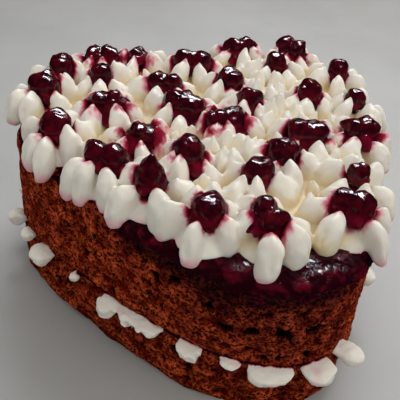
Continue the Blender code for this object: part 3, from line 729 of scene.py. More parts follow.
def glazed_berry(colours):
    """Whole berries under syrup: dark maroon skin, red where the syrup gathers, mirror gloss."""
    look, tree, shader = new_look("glazed_berry", {
        "Roughness": 0.12, "IOR": 1.45, "Specular IOR Level": 0.06,
        "Coat Weight": 0.1, "Coat Roughness": 0.03, "Coat IOR": SYRUP_COAT_IOR,
    })
    bloom = stretch(tree, object_noise(tree, 3.5), 0.42, 0.62)
    skin = mix_colour(tree, bloom, colours.jam, colours.berry)
    shade = mix_colour(tree, attribute(tree, "thin"), skin, colours.juice)
    tree.links.new(shade, shader.inputs["Base Color"])
    bump(tree, shader, object_noise(tree, 2.6), 0.7, 0.9)
    return look


def studio_floor(colours):
    """A matt painted floor, pale and even, with a faint mottle."""
    look, tree, shader = new_look("studio_floor", {"Roughness": 0.7})
    mottle = stretch(tree, object_noise(tree, 120.0), 0.3, 0.7, 0.0, 0.08)
    shade = mix_colour(tree, mottle, colours.floor, (0.9, 0.9, 0.9))
    tree.links.new(shade, shader.inputs["Base Color"])
    return look


def lean(bearings, height):
    """How far the side stands out where the cake leans: round bumps that fade upward."""
    low = np.clip((LEAN_STARTS - height) / (LEAN_STARTS - UPPER_FOOT), 0.0, 1.0)
    total = np.zeros(np.shape(bearings))
    for middle, half, amount in LEANS:
        away = np.abs(turn_from(middle, bearings))
        total = total + amount * np.clip(1.0 - (away / half) ** 2, 0.0, 1.0)
    return total * low


def sponge_inset(layer, bearings, height):
    """How far the side of a sponge stands in: a power curve at the top edge, a small ease below,
    less where the cake leans out."""
    up = np.clip(height - (layer.top - EDGE_TALL), 0.0, None) / EDGE_TALL
    down = np.clip(layer.foot + FOOT_TALL - height, 0.0, None) / FOOT_TALL
    eased = layer.edge * (EDGE_IN * np.minimum(up, 1.0) ** 2.6 + FOOT_IN * down**2)
    return eased - lean(bearings, height)


def crag_rings(shares, rng):
    """Depth of the crags at every coarse ring, as the solid has them. The last draw of a middle
    ring is the solid's own, which also moves that ring up and down."""
    depths = []
    for share in shares:
        crag = LEAST_CRAG + CRAG * rng.random(SPONGE_SAMPLES)
        if share in (0.0, 1.0):
            crag = crag + END_IN
        else:
            pitted = rng.random(SPONGE_SAMPLES) < PIT_SHARE
            depth = PIT_DEPTH * (0.5 + 0.5 * rng.random(SPONGE_SAMPLES))
            crag = crag + np.where(pitted, depth, 0.0)
            rng.random(SPONGE_SAMPLES)
        depths.append(crag)
    return depths


def crag_field(layer, depths):
    """The coarse crags blended onto a fine grid, rings by height and points round."""
    at = np.arange(SPONGE_COUNT) * SPONGE_SAMPLES / SPONGE_COUNT
    rings = np.stack([wrap_interp(at, ring) for ring in depths])
    height = np.linspace(0.0, 1.0, layer.rows)
    shares = np.array(layer.shares)
    upper = np.clip(np.searchsorted(shares, height, side="right"), 1, len(shares) - 1)
    low, high = shares[upper - 1], shares[upper]
    part = smoothstep(0.0, 1.0, (height - low) / (high - low))[:, None]
    return rings[upper - 1] * (1.0 - part) + rings[upper] * part


def jam_run(bearings):
    """How far the jam runs down the side: 0 to 1, a thin sheet with one long tongue."""
    away = np.abs(turn_from(JAM_RUN_MIDDLE_DEG, bearings))
    sheet = np.clip(1.0 - (away / JAM_RUN_HALF_WIDTH_DEG) ** 2, 0.0, 1.0) ** 0.5
    tongue = np.exp(-(((bearings - JAM_TONGUE_DEG) / JAM_TONGUE_HALF_DEG) ** 2))
    drips = np.sin(np.radians(bearings * 13.0)) * np.sin(np.radians(bearings * 5.0))
    return sheet * (JAM_SHEET + (1.0 - JAM_SHEET) * tongue) * (0.85 + 0.15 * drips)


def torn_holes(points, seed):
    """The large torn holes: a share of TORN_DEPTH in each one's middle, 0 past its wavering edge."""
    torn = np.zeros(points.shape[:-1])
    waver = 1.0 + 0.45 * ripple(points, 2.2, seed)
    for bearing, level, radius, depth in TORN_HOLES:
        at, _ = rim_place(bearing)
        away = np.stack([points[..., 0] - at[0], points[..., 1] - at[1], 1.3 * (points[..., 2] - level)])
        share = np.clip(1.0 - (away**2).sum(0) / (radius * waver) ** 2, 0.0, 1.0)
        torn = np.maximum(torn, depth / TORN_DEPTH * share)
    return torn


def sponge_side(layer, rng, sizes):
    """Side of a sponge: outline moved in by edge curve + crags + torn web + holes. The web is the
    absolute value of smooth noise at two sizes, so thin ridges stand where the noise is near 0.
    Gives the points on a grid of height and place round, how much painted shade each takes for
    lying in a recess, and the bearing of each column."""
    base, normals, bearings = sample(SPONGE_COUNT)
    height = np.linspace(layer.foot, layer.top, layer.rows)[:, None] + np.zeros(SPONGE_COUNT)
    smooth = np.concatenate([base + np.zeros((layer.rows, 1, 1)), height[..., None]], axis=-1)
    crag = crag_field(layer, crag_rings(layer.shares, rng))
    seed = layer.seed
    bent = bend(smooth, 1.1, 3.3, seed)
    web = np.abs(ripple(bent, 1.6 * sizes.pore, seed + 4))
    web = 0.62 * web + 0.5 * np.abs(ripple(bent, 0.85 * sizes.pore, seed + 5))
    small = pores(bent, 1.5 * sizes.pore, seed, 0.2, 0.75 * sizes.pore)
    large = pores(bent, 3.4 * sizes.pore, seed + 9, 0.4, sizes.pore) ** 0.7
    torn = torn_holes(smooth, seed + 6)
    rough = sizes.crumb * (0.7 * ripple(smooth, 6.0, seed + 1) + 0.9 * web)
    hollows = SMALL_PORE_DEPTH * small + LARGE_PORE_DEPTH * large + TORN_DEPTH * torn
    ends = smoothstep(-0.2, 1.6, np.minimum(height - layer.foot, layer.top - height))
    inset = sponge_inset(layer, bearings, height) + crag + ends * (rough - CRUMB_OUT + hollows)
    points = smooth.copy()
    points[..., :2] -= normals * inset[..., None]
    points[..., 2] += (0.4 + 0.6 * ends) * 0.7 * ripple(smooth, 2.6, seed + 3)
    # Painted shade: the recesses of the web, the pores and the torn holes are painted toward the pore
    # colour
    dark = np.clip(0.6 * (web - 0.32) + 1.3 * small + 1.5 * large + 2.6 * torn, 0.0, 1.0)
    return points, dark, bearings


def close_flat(side):
    """The side's rings with more before and after, which carry its ends flat to the middle."""
    low, high = side[0].mean(axis=0), side[-1].mean(axis=0)
    under = [low + (side[0] - low) * share for share in reversed(FLAT_SHARES)]
    over = [high + (side[-1] - high) * share for share in FLAT_SHARES]
    return np.concatenate([under, side, over])


def soaked(rings, bearings):
    """How much jam colour each point takes: jam soaked in, in a ragged zone under the run that reaches
    further down as painted shade on the front, and painted shade toward the point that fades toward the
    table."""
    run = jam_run(bearings)
    ragged = 3.5 * ripple(rings, 6.0, SOAK_SEED) + 1.5 * ripple(rings, 2.2, SOAK_SEED + 1)
    reach = 8.5 + 14.0 * run + ragged
    zone = smoothstep(UPPER_TOP - 1.7 * reach, UPPER_TOP - 0.7 * reach, rings[..., 2])
    zone = zone * smoothstep(0.0, 0.6 * JAM_SHEET, run) * 0.9
    # Painted shade on the front toward the point of the heart
    front_shade = FRONT_SHADE * np.exp(-(((bearings - FRONT_SHADE_MIDDLE_DEG) / FRONT_SHADE_HALF_WIDTH_DEG) ** 2))
    level = rings[..., 2] + 3.0 * ripple(rings, 5.0, SOAK_SEED + 2)
    return np.maximum(zone, front_shade * smoothstep(0.0, UPPER_TOP, level))


def build_sponge(layer, look, rng, sizes):
    """A sponge as one closed porous body, with painted shade in its pores and holes, and its jam stain
    and painted front shade stored.
    """
    side, dark, bearings = sponge_side(layer, rng, sizes)
    rings = close_flat(side)
    extra = len(FLAT_SHARES)
    piece = bodies_from_rings(layer.piece, [rings], look)
    # The pore number is painted shade in the hollows
    paint_rings(piece, "pore", np.pad(dark, ((extra, extra), (0, 0))))
    paint_rings(piece, "soak_and_shade", soaked(rings, bearings))
    settle(piece, "chocolate_sponge", layer.node)


def flower_places():
    """Centre of every flower, outer ring first, and the bearings of its fins."""
    places = []
    for number, (bearing, share, turn) in enumerate(OUTER_RING + INNER_RING + PLAIN_FLOWERS):
        rim, _ = rim_place(bearing)
        centre = np.array([0.0, MIDDLE_Y]) * (1.0 - share) + rim * share
        even = [turn + 360.0 * k / FINS for k in range(FINS)]
        places.append((centre, FRONT_FINS_DEG[number] if number < len(FRONT_FINS_DEG) else even))
    return places


def fin_draws(rng):
    """The uneven sizes of one fin, drawn in the same order as for the solids."""
    draw = rng.random(6)
    return {
        "reach": 0.94 + 0.12 * draw[0],
        "crest": FIN_CREST * (0.84 + 0.3 * draw[1]),
        "half": FIN_HALF_THICKNESS * (0.84 + 0.32 * draw[2]),
        "turn": FIN_TURN_SPREAD_DEG * (2.0 * draw[3] - 1.0),
        "peak": 0.36 + 0.1 * draw[4],
        "lean": 2.0 * draw[5] - 1.0,
    }


def room_along(centre, heading, others):
    """How far a fin can run before it meets a neighbour's half or leaves the rim."""
    apart = others - centre
    toward = apart @ heading
    ahead = toward > 1.0
    halfway = ((apart[ahead] ** 2).sum(1) / (2.0 * toward[ahead])).min(initial=FIN_MOST)
    steps = np.arange(FIN_LEAST, FIN_MOST, 0.5)
    over = rim_excess(centre + steps[:, None] * heading)
    rim = steps[over < OVERHANG].max(initial=FIN_LEAST)
    return min(halfway + FIN_OVERLAP, rim)


def all_fins():
    """Every fin of every flower: centre, sizes and bearing."""
    rng = np.random.default_rng(SEED + 2)
    places = flower_places()
    fins = []
    for number, (centre, bearings) in enumerate(places):
        others = np.array([place for place, _ in places[:number] + places[number + 1 :]])
        for middle in bearings:
            size = fin_draws(rng)
            bearing = math.radians(middle + size["turn"])
            heading = np.array([math.cos(bearing), math.sin(bearing)])
            room = room_along(centre, heading, others)
            size["reach"] *= min(max(room, FIN_LEAST), FIN_MOST)
            size["half"] = min(size["half"], FIN_SLIMNESS * size["reach"])
            fins.append((centre, size, bearing))
    return fins


def gap_fins():
    """Short fins in the widest gaps between flowers: centre, sizes and bearing."""
    rng = np.random.default_rng(SEED + 9)
    fins = []
    for place in GAP_PLACES:
        first = rng.random()
        for k in range(GAP_FINS):
            draw = rng.random(4)
            size = {
                "reach": GAP_REACH * (0.9 + 0.25 * draw[0]),
                "crest": GAP_CREST * (0.9 + 0.25 * draw[1]),
                "half": GAP_HALF * (0.9 + 0.25 * draw[2]),
                "peak": GAP_PEAK,
                "lean": 2.0 * draw[3] - 1.0,
            }
            fins.append((np.array(place, float), size, 2.0 * math.pi * (first + k / GAP_FINS)))
    return fins


def squared(wave, power):
    """A sine or cosine to a power, with its sign: powers under 1 square off a round section."""
    return np.sign(wave) * np.abs(wave) ** power


def fin_profile(t, size, outer):
    """A fin's crest, half thickness, foot and closing share at stations t. The crest rises to a
    small drawn-up nib near the berry and falls outward in a convex line, rounder and without the
    nib at the rim; the thickness is near even and closes at the blunt end by (1 - t^8)^(1/2)."""
    peak = size["peak"]
    fall = np.clip((t - peak) / (1.0 - peak), 0.0, 1.0)
    end = np.sqrt(1.0 - t**8)
    crest = size["crest"] * (0.35 + 0.6 * smoothstep(-0.02, peak + 0.04, t)) * (1.0 - 0.2 * fall**2)
    crest = crest * (1.0 - 0.13 * outer * np.exp(-(((t - peak) / 0.22) ** 2)))
    nib = (1.3 + 0.9 * size["lean"]) * (1.0 - outer)
    crest = crest + nib * np.exp(-(((t - peak) / 0.06) ** 2))
    thick = size["half"] * (0.56 + 0.44 * smoothstep(0.2, 0.75, t)) * end
    thick = thick * np.sqrt(1.0 - (1.0 - t) ** 8)
    foot = -1.6 - 2.2 * smoothstep(0.5, 0.85, t)
    return crest, thick, foot, end


def fin_surface(centre, size, bearing, seed):
    """A piped fin: stations t from 0 (middle of the flower) to 1 (outer end), angle v round each.
    Below its middle a section is a boxy slab, |y|^3.8 + |z|^3.8 = 1; above, it narrows to a blunt
    ridge of about a quarter of its width, a little wider toward the outer end."""
    t = 0.5 - 0.5 * np.cos(np.linspace(0.05, math.pi - 0.03, FIN_ROWS))[:, None]
    v = full_turn(FIN_COUNT)
    peak, lean_over = size["peak"], size["lean"]
    tip = centre + size["reach"] * np.array([math.cos(bearing), math.sin(bearing)])
    outer = smoothstep(-3.0, 5.0, rim_excess(tip[None, :]))[0]
    crest, thick, foot, end = fin_profile(t, size, outer)
    middle = foot + 0.45 * (crest - foot)
    up = np.sin(v) > 0.0
    tall = np.where(up, crest - middle, middle - foot) * (0.1 + 0.9 * end)
    z = middle + tall * squared(np.sin(v), 0.52) * np.minimum(1.0, 3.0 * end)
    sharp = (0.72 - 0.06 * outer) * (1.0 - 0.2 * smoothstep(peak, peak + 0.38, t))
    narrow = 1.0 - np.where(up, sharp, 0.14 + 0.14 * outer) * np.sin(v) ** 2
    y = thick * squared(np.cos(v), np.where(up, 0.75, 0.52)) * narrow
    x = FIN_START + (size["reach"] - FIN_START) * t - 1.6 * np.maximum(np.sin(v), 0.0) ** 3 * t**5
    y = y + 0.13 * lean_over * z + 2.4 * lean_over * t**2
    c, s = math.cos(bearing), math.sin(bearing)
    points = np.stack([x * c - y * s + centre[0], x * s + y * c + centre[1], z + JAM_TOP], axis=-1)
    over = np.clip(rim_excess(points.reshape(-1, 3)[:, :2]).reshape(z.shape), 0.0, OVERHANG + 1.0)
    points[..., 2] -= RIM_DROOP * over**2
    wave = 0.42 * ripple(points, 6.5, seed) + 0.25 * ripple(points, 2.6, seed + 1)
    away = points - points.mean(axis=(0, 1))
    away /= np.linalg.norm(away, axis=-1, keepdims=True)
    return points + away * wave[..., None]


def round_points(centre, reach, spin, height):
    """Points at a distance and an angle about a centre, at a height over the jam."""
    x = reach * np.cos(spin) + centre[0]
    y = reach * np.sin(spin) + centre[1]
    return np.stack(np.broadcast_arrays(x, y, height + JAM_TOP), axis=-1)


def dome_surface(centre, reach):
    """The low mound where the fins of a flower run together: z = h (1 - (r / reach)^2)."""
    share = np.array(DOME_SHARES)[:, None]
    height = DOME_HEIGHT * (1.0 - share**2) - DOME_SUNK
    return round_points(centre, reach * share, full_turn(DOME_COUNT), height)


def melt(name, grids, look, voxel, target):
    """One closed skin over many overlapping closed bodies, as soft cream runs together: a voxel
    remesh, a pass of smoothing, then fewer triangles."""
    piece = bodies_from_rings(name, grids, look)
    skin = piece.modifiers.new("skin", "REMESH")
    skin.mode = "VOXEL"
    skin.voxel_size = voxel * MM
    soften = piece.modifiers.new("soften", "SMOOTH")
    soften.iterations = 1
    bake(piece)
    few = piece.modifiers.new("few", "DECIMATE")
    few.ratio = min(1.0, target / (2.0 * len(piece.data.polygons)))
    few.use_collapse_triangulate = True
    bake(piece)
    piece.data.shade_smooth()
    return piece


def bake(piece):
    """Applies the modifiers of a piece."""
    bpy.context.view_layer.update()
    depsgraph = bpy.context.evaluated_depsgraph_get()
    result = bpy.data.meshes.new_from_object(piece.evaluated_get(depsgraph))
    piece.modifiers.clear()
    old = piece.data
    piece.data = result
    bpy.data.meshes.remove(old)


def roughen(piece, depth, size, seed):
    """Moves every point along its normal by smooth noise."""
    points = mesh_points(piece)
    normals = np.empty(points.size)
    piece.data.vertices.foreach_get("normal", normals)
    noise = ripple(points, size, seed) + 0.5 * ripple(points, 0.5 * size, seed + 1)
    moved = points + normals.reshape(-1, 3) * (depth * noise)[:, None]
    piece.data.vertices.foreach_set("co", ((moved + SHIFT) * MM).ravel())
    piece.data.update()


def berry_rows():
    """Place, kind, size and turn of every berry, drawn as for the solids."""
    rng = np.random.default_rng(SEED + 1)
    kinds = OUTER_BERRIES.split() + INNER_BERRIES.split()
    rows = []
    for (centre, _), kind, share in zip(flower_places(), kinds, BERRY_SIZES):
        size = share * (0.97 + 0.06 * rng.random())
        turn = LONG_AXIS_DEG + 24.0 * (rng.random() - 0.5)
        rows.append((centre, kind, size, turn))
    return rows


def berry_lobes(kind, size, turn):
    """Overlapping balls that all hold the middle of the berry: x, y, z and radius."""
    r = BERRY_RADIUS * size
    c, s = math.cos(math.radians(turn)), math.sin(math.radians(turn))
    shapes = {
        "round": [(0, 0, 0, r)],
        "small": [(0, 0, 0, 0.78 * r)],
        "tall": [(0, 0, 0.8, 1.05 * r), (0.2 * r, -0.1 * r, -0.6 * r, 0.9 * r)],
        "peaked": [(0, 0, -0.4, 0.98 * r), (0, 0, 0.45 * r, 0.72 * r)],
        "pair": [(0.62 * r, 0, 0, 0.9 * r), (-0.6 * r, 0.1 * r, 0.3, 0.82 * r)],
        "long": [(0.72 * r, 0, 0, 0.86 * r), (-0.72 * r, 0, 0, 0.86 * r), (0, 0, -0.5, 0.8 * r)],
        "spread": [(0.4 * r, 0.25 * r, -0.8, 0.85 * r), (-0.5 * r, -0.1 * r, -0.6, 0.8 * r)],
        "ragged": [(0.3 * r, -0.2 * r, 0, 0.82 * r), (-0.3 * r, 0.25 * r, 0.7, 0.75 * r)],
        "flat": [(0, 0, -1.6, 0.86 * r), (0.35 * r, 0.2 * r, -1.8, 0.8 * r)],
        "heap": [(0.55 * r, -0.2 * r, -0.4, 0.95 * r), (-0.55 * r, 0.25 * r, -0.3, 0.95 * r),
                 (0, 0, 0.8, 0.9 * r)],
        "smear": [(0, 0, -2.4, 0.72 * r)],
    }
    return [(x * c - y * s, x * s + y * c, z, ball) for x, y, z, ball in shapes[kind]]


def ball_angles(grid, gap):
    """Tilts from the top and turns round of the points on a ball, with a small gap at each pole."""
    rows, count = grid
    return np.linspace(gap, math.pi - gap, rows)[:, None], full_turn(count)


def berry_surface(centre, kind, size, turn, sizes, seed):
    """A berry: along each ray from its middle, the soft maximum of its balls' far sides, plus
    wrinkles; a peaked one is drawn up to a point."""
    tilt, spin = ball_angles(BERRY_GRID, 0.06)
    flat = np.sin(tilt)
    rays = np.stack([flat * np.cos(spin), flat * np.sin(spin), np.cos(tilt) + 0.0 * spin], -1)
    fars = []
    for x, y, z, ball in berry_lobes(kind, size, turn):
        along = rays @ np.array([x, y, z])
        inside = ball**2 - (x * x + y * y + z * z)
        fars.append(along + np.sqrt(np.maximum(along**2 + inside, 0.01)))
    far = (np.array(fars) ** BERRY_SOFTNESS).sum(0) ** (1.0 / BERRY_SOFTNESS)
    if kind == "peaked":
        far = far + 2.6 * np.exp(-((tilt / 0.36) ** 2))
    away = rays * far[..., None] + seed * 17.0
    wrinkles = ripple(away, 4.2, seed) + 0.35 * ripple(away, 1.7, seed + 1)
    far = far + WRINKLES.get(kind, SMOOTH_WRINKLES) * sizes.berry_ripple * wrinkles
    return rays * far[..., None] + np.array([centre[0], centre[1], JAM_TOP + BERRY_HEIGHT])


def pool_surface(centre, kind, size, bearings, seed):
    """Jam round a berry: a flattened ball whose edge runs out in the valleys between fins."""
    tilt, spin = ball_angles(POOL_GRID, 0.08)
    before = [bearings[-1] - 360.0, *bearings[:-1]]
    valley = np.zeros_like(spin)
    for first, second in zip(before, bearings):
        away = turn_from(0.5 * (first + second), np.degrees(spin))
        valley = np.maximum(valley, np.exp(-((away / 20.0) ** 2)))
    circle = np.stack([3.0 * np.cos(spin), 3.0 * np.sin(spin), 0.0 * spin + seed], -1)
    lift = 0.25 * ripple(circle, 1.0, seed)
    reach = (POOL_RADIUS[kind] * size + 1.1) * (0.87 + 0.08 * valley + 0.7 * lift)
    out = np.sin(tilt) * reach
    height = POOL_HEIGHT + POOL_HALF_HEIGHT * np.cos(tilt) - 0.035 * out**2
    spot = round_points(centre, out, spin, height)
    spot[..., 2] += 0.5 * ripple(spot, 2.0, seed)
    return spot


def juice_on(points):
    """How much juice each point of the cream has taken up: full at a berry, then less with
    distance, further where it can run down, and a faint edge where the cream lies on the jam."""
    patchy = ripple(points, 3.2, JUICE_SEED) + 0.6 * ripple(points, 1.3, JUICE_SEED + 1)
    low = smoothstep(2.5, -3.5, points[:, 2] - JAM_TOP + 1.6 * patchy)
    total = 0.24 * low * smoothstep(-2.0, 3.0, rim_excess(points[:, :2]))
    for centre, kind, size, turn in berry_rows():
        near = np.flatnonzero(np.abs(points[:, :2] - centre).max(1) < 20.0)
        spot = points[near]
        apart = np.full(len(near), 1e3)
        for x, y, z, ball in berry_lobes(kind, size, turn):
            middle = np.array([centre[0] + x, centre[1] + y, JAM_TOP + BERRY_HEIGHT + z])
            away = spot - middle
            away[:, 2] = np.where(away[:, 2] < 0.0, 0.62 * away[:, 2], away[:, 2])
            apart = np.minimum(apart, np.linalg.norm(away, axis=1) - ball)
        reach = JUICE_REACH[kind] * (1.0 + 0.9 * patchy[near])
        total[near] = np.maximum(total[near], 1.0 - apart / np.maximum(reach, 0.4))
    return np.clip(total, 0.0, 1.0)


def rings_at(base, normals, rows):
    """Rings from rows of a distance outside a base loop and a height, each of them one number or
    one a point."""
    level = np.zeros(len(base))
    return np.array([
        np.column_stack([base + normals * (out + level)[:, None], height + level])
        for out, height in rows
    ])


def cream_bed_rings():
    """The bed under the flowers: heart-shaped rings, a low cushion."""
    base, normals, _ = sample(BED_COUNT)
    profile = (
        (0.0, -1.0), (-1.0, 0.6), (1.0, 0.8 * BED_DEPTH), (5.0, BED_DEPTH), (24.0, BED_DEPTH),
    )
    return rings_at(base, normals, [(-BED_INSET - more, JAM_TOP + up) for more, up in profile])


def build_cream(look, sizes):
    """All the piped fins, their mounds and their bed as one skin, with the juice and the painted valley
    shade stored.
    """
    grids = [cream_bed_rings()]
    grids += [dome_surface(centre, DOME_REACH) for centre, _ in flower_places()]
    for number, (centre, size, bearing) in enumerate(all_fins() + gap_fins()):
        grids.append(fin_surface(centre, size, bearing, 7 * number))
    piece = melt("piped_cream", grids, look, CREAM_VOXEL, CREAM_TRIANGLES)
    roughen(piece, sizes.cream_ripple, 3.0, CREAM_SEED)
    points = mesh_points(piece)
    paint(piece, "juice", juice_on(points))
    # Painted shade: low cream inside the rim takes the hollow colour
    height = points[:, 2] - JAM_TOP + 1.5 * ripple(points, 4.0, VALLEY_SHADE_SEED)
    hollow = smoothstep(11.0, 3.0, height)
    paint(piece, "hollow", hollow * smoothstep(1.0, -6.0, rim_excess(points[:, :2])))
    settle(piece, "whipped_cream", "cream_flowers")


def build_berries(look, sizes):
    """Every berry as its own glazed body."""
    for number, (centre, kind, size, turn) in enumerate(berry_rows(), start=1):
        points = berry_surface(centre, kind, size, turn, sizes, number)
        piece = bodies_from_rings(f"glazed_berry_{number:02d}", [points], look)
        low = smoothstep(2.0, -5.0, points[..., 2] - JAM_TOP - BERRY_HEIGHT)
        thin = np.clip(0.6 * low + 0.2 * ripple(points, 3.0, number) - 0.05, 0.0, 1.0)
        paint_rings(piece, "thin", thin, thin[[0, -1], 0])
        settle(piece, "berry_skin", f"berry_{number:02d}")


def build_pools(look):
    """The jam that each berry sits in, all in one piece of separate bodies."""
    grids = []
    for number, (berry, flower) in enumerate(zip(berry_rows(), flower_places())):
        centre, kind, size, _ = berry
        grids.append(pool_surface(centre, kind, size, flower[1], number))
    piece = bodies_from_rings("berry_syrup", grids, look)
    spots = mesh_points(piece)
    paint(piece, "thin", np.clip(0.16 + 0.3 * ripple(spots, 3.0, SYRUP_SEED), 0.0, 0.5))
    settle(piece, "berry_jam")


def jam_profile():
    """Coarse rings of the jam from the middle of the top, over the rim, down the run and back
    inside. The lower edge is ragged by smooth noise and thins out on the crumb. Also gives the
    outward vectors, and how far the jam shows at each place round."""
    base, normals, bearings = sample(JAM_COUNT)
    run = jam_run(bearings)
    shown = smoothstep(0.0, 0.6 * JAM_SHEET, run)
    place = np.column_stack([base, np.zeros(JAM_COUNT)])
    ragged = 0.6 * ripple(place, 5.0, JAM_SEED + 3) + 0.5 * ripple(place, 2.2, JAM_SEED + 4)
    skin = shown * (JAM_THIN + (JAM_SKIN - JAM_THIN) * run) + JAM_HIDDEN * (1.0 - shown)
    lump = JAM_LUMP * np.sin(np.radians(bearings * 17.0)) * shown
    drop = (JAM_LEAST_DROP + JAM_RUN * run) * (1.0 + 0.5 * ragged) + 2.0 * ragged * shown
    edge = UPPER_TOP - JAM_EDGE
    inside = -EDGE_IN - 1.5
    rings = rings_at(base, normals, (
        (-JAM_INNER, JAM_TOP),
        (-EDGE_TALL, JAM_TOP),
        (0.3 * skin - 6.0, JAM_TOP - 0.9),
        (skin - 3.0, UPPER_TOP + 0.6),
        (skin - 0.6 + lump, edge),
        (0.6 * skin - 0.6 + 0.6 * lump, edge - 0.5 - 0.45 * drop),
        (0.25 * skin - 1.3, edge - 0.8 - 0.8 * drop),
        (JAM_TUCK - 0.4, edge - 1.0 - drop),
        (inside, edge - 0.6 * drop),
        (inside - 2.0, UPPER_TOP + 0.2),
        (-JAM_INNER, UPPER_TOP + 0.2),
    ))
    return rings, normals, shown


def curve_through(rings, steps):
    """More rings on a smooth curve through these (uniform Catmull-Rom along the first axis)."""
    padded = np.concatenate([rings[:1], rings, rings[-1:]])
    out = []
    for k in range(len(rings) - 1):
        p0, p1, p2, p3 = padded[k : k + 4]
        for t in np.arange(steps) / steps:
            out.append(0.5 * (2 * p1 + (p2 - p0) * t + (2 * p0 - 5 * p1 + 4 * p2 - p3) * t**2
                              + (3 * p1 - p0 - 3 * p2 + p3) * t**3))
    return np.array([*out, rings[-1]])


def jam_lumpiness(points):
    """1 where whole fruit lies in the jam, toward the point of the heart and right of it."""
    away = np.abs(turn_from(JAM_LUMPS_MIDDLE_DEG, bearings_of(points)))
    near, far = JAM_LUMPS_HALF_WIDTH_DEG - 12.0, JAM_LUMPS_HALF_WIDTH_DEG + 12.0
    return 0.15 + 0.85 * smoothstep(far, near, away)


def build_jam(look, sizes):
    """The jam over the top and down the run, with half-sunk berries as lumps."""
    coarse, normals, shown_round = jam_profile()
    rings = curve_through(coarse, JAM_STEPS)
    lumps = pores(bend(rings, 1.2, 3.0, JAM_SEED + 5), 8.0, JAM_SEED, 2.2, 4.8) ** 0.6
    fine = ripple(rings, 2.6, JAM_SEED + 1) + 0.7 * ripple(rings, 1.3, JAM_SEED + 2)
    row = np.arange(len(rings), dtype=float)
    shown = smoothstep(-1.0, 1.0, row - JAM_FIRST_LUMPY_ROW) * smoothstep(*JAM_LAST_LUMPY_ROWS, row)
    wet = jam_lumpiness(rings)
    push = shown[:, None] * (sizes.jam_lumps * wet * (0.7 * lumps - 0.2) + 0.75 * fine)
    rings[..., :2] += normals * (push * shown_round)[..., None]
    rings[..., 2] += 0.35 * push
    piece = bodies_from_rings("jam_spread", [rings], look)
    paint_rings(piece, "thin", 0.26 * np.clip(wet * (1.4 * lumps - 0.5 + 0.5 * fine), 0.0, 1.0))
    settle(piece, "berry_jam", "jam_layer")


def seam_fin_surface(bearing, reach, width, tall, lift, skew, seed):
    """Cream squeezed out at the seam: sections along the way out, nearly flat above where the
    upper sponge pressed them and hanging below, closing to a blunt end; skew moves the deepest
    place to one side. Upright folds run down it, torn deeper at the left of the front."""
    at, out = rim_place(bearing)
    at = at + out * lean(bearing, UPPER_FOOT)
    along = np.array([-out[1], out[0]])
    t = np.linspace(0.0, 1.0, SEAM_ROWS)[:, None]
    v = full_turn(SEAM_COUNT)
    start = -FILLING_INSET - 3.0
    far = start + (reach - start) * t
    end = np.sqrt(np.clip(1.0 - t**5, 0.0004, 1.0))
    shown = smoothstep(0.3, 0.8, t)
    roof = UPPER_FOOT + 0.5 * lift * shown - 0.4
    hang = (0.25 * tall + 0.6 * tall * shown) * end
    dome = (0.8 + 0.3 * np.maximum(lift, 0.0) * shown) * end
    down = np.maximum(-np.sin(v), 0.0)
    rise = np.where(np.sin(v) > 0.0, dome * np.sin(v), -hang * down**0.8)
    side = 0.5 * width * end * (0.72 + 0.28 * smoothstep(0.0, 0.6, t)) * np.cos(v)
    side = side + 0.42 * skew * width * down**1.5 * shown * end
    middle = roof - 0.14 * np.maximum(far, 0.0) * (1.0 + 0.5 * down)
    x = at[0] + out[0] * far + along[0] * side
    y = at[1] + out[1] * far + along[1] * side
    points = np.stack([x, y, middle + rise], axis=-1)
    folds = np.abs(ripple(points * np.array([1.0, 1.0, 0.4]), 3.2, seed + 2))
    torn = smoothstep(*TORN_SEAM_DEG, bearing)
    wave = 0.9 * ripple(points, 5.0, seed) + (0.3 + 0.5 * torn) * ripple(points, 2.0, seed + 1)
    wave = wave + (0.9 + 3.2 * torn) * (folds - 0.25)
    points[..., 2] += wave * shown * down
    points[..., :2] += (out + 0.8 * along) * (wave * shown)[..., None]
    return points


def build_filling(look):
    """The filling: a disk between the sponges, its edge in the crack painted near black as jam stain
    and as shade, and the cream squeezed out of it, as one skin."""
    base, normals, bearings = sample(FILLING_COUNT)
    inset = FILLING_INSET - lean(bearings, UPPER_FOOT)
    low, high = LOWER_TOP - FILLING_PRESS, UPPER_FOOT + FILLING_PRESS
    profile = (
        (FILLING_INNER, low), (0.0, low), (-0.8, 0.5 * (LOWER_TOP + UPPER_FOOT)),
        (0.0, high), (FILLING_INNER, high),
    )
    rings = rings_at(base, normals, [(-(inset + more), height) for more, height in profile])
    grids = [curve_through(rings, 3)]
    grids += [seam_fin_surface(*row, SEAM_SEED + 5 * k) for k, row in enumerate(SEAM_FINS)]
    piece = melt("filling_seam", grids, look, FILLING_VOXEL, FILLING_TRIANGLES)
    roughen(piece, FILLING_RIPPLE, 2.2, FILLING_SEED)
    points = mesh_points(piece)
    outside = rim_excess(points[:, :2]) - FLAT_INSET - lean(bearings_of(points), UPPER_FOOT)
    # The disk's edge deep in the crack gets full juice, so the near-black jam colour: partly jam stain,
    # partly painted shade of the crack
    deep = smoothstep(-2.8, -3.4, outside + 1.2 * ripple(points, 3.0, STAIN_SEED + 1))
    dabs = 0.22 * np.clip(ripple(points, 5.0, STAIN_SEED) - 0.2, 0.0, 1.0)
    paint(piece, "juice", np.maximum(deep, dabs))
    paint(piece, "hollow", np.zeros(len(points)))
    settle(piece, "whipped_cream", "filling_cream")


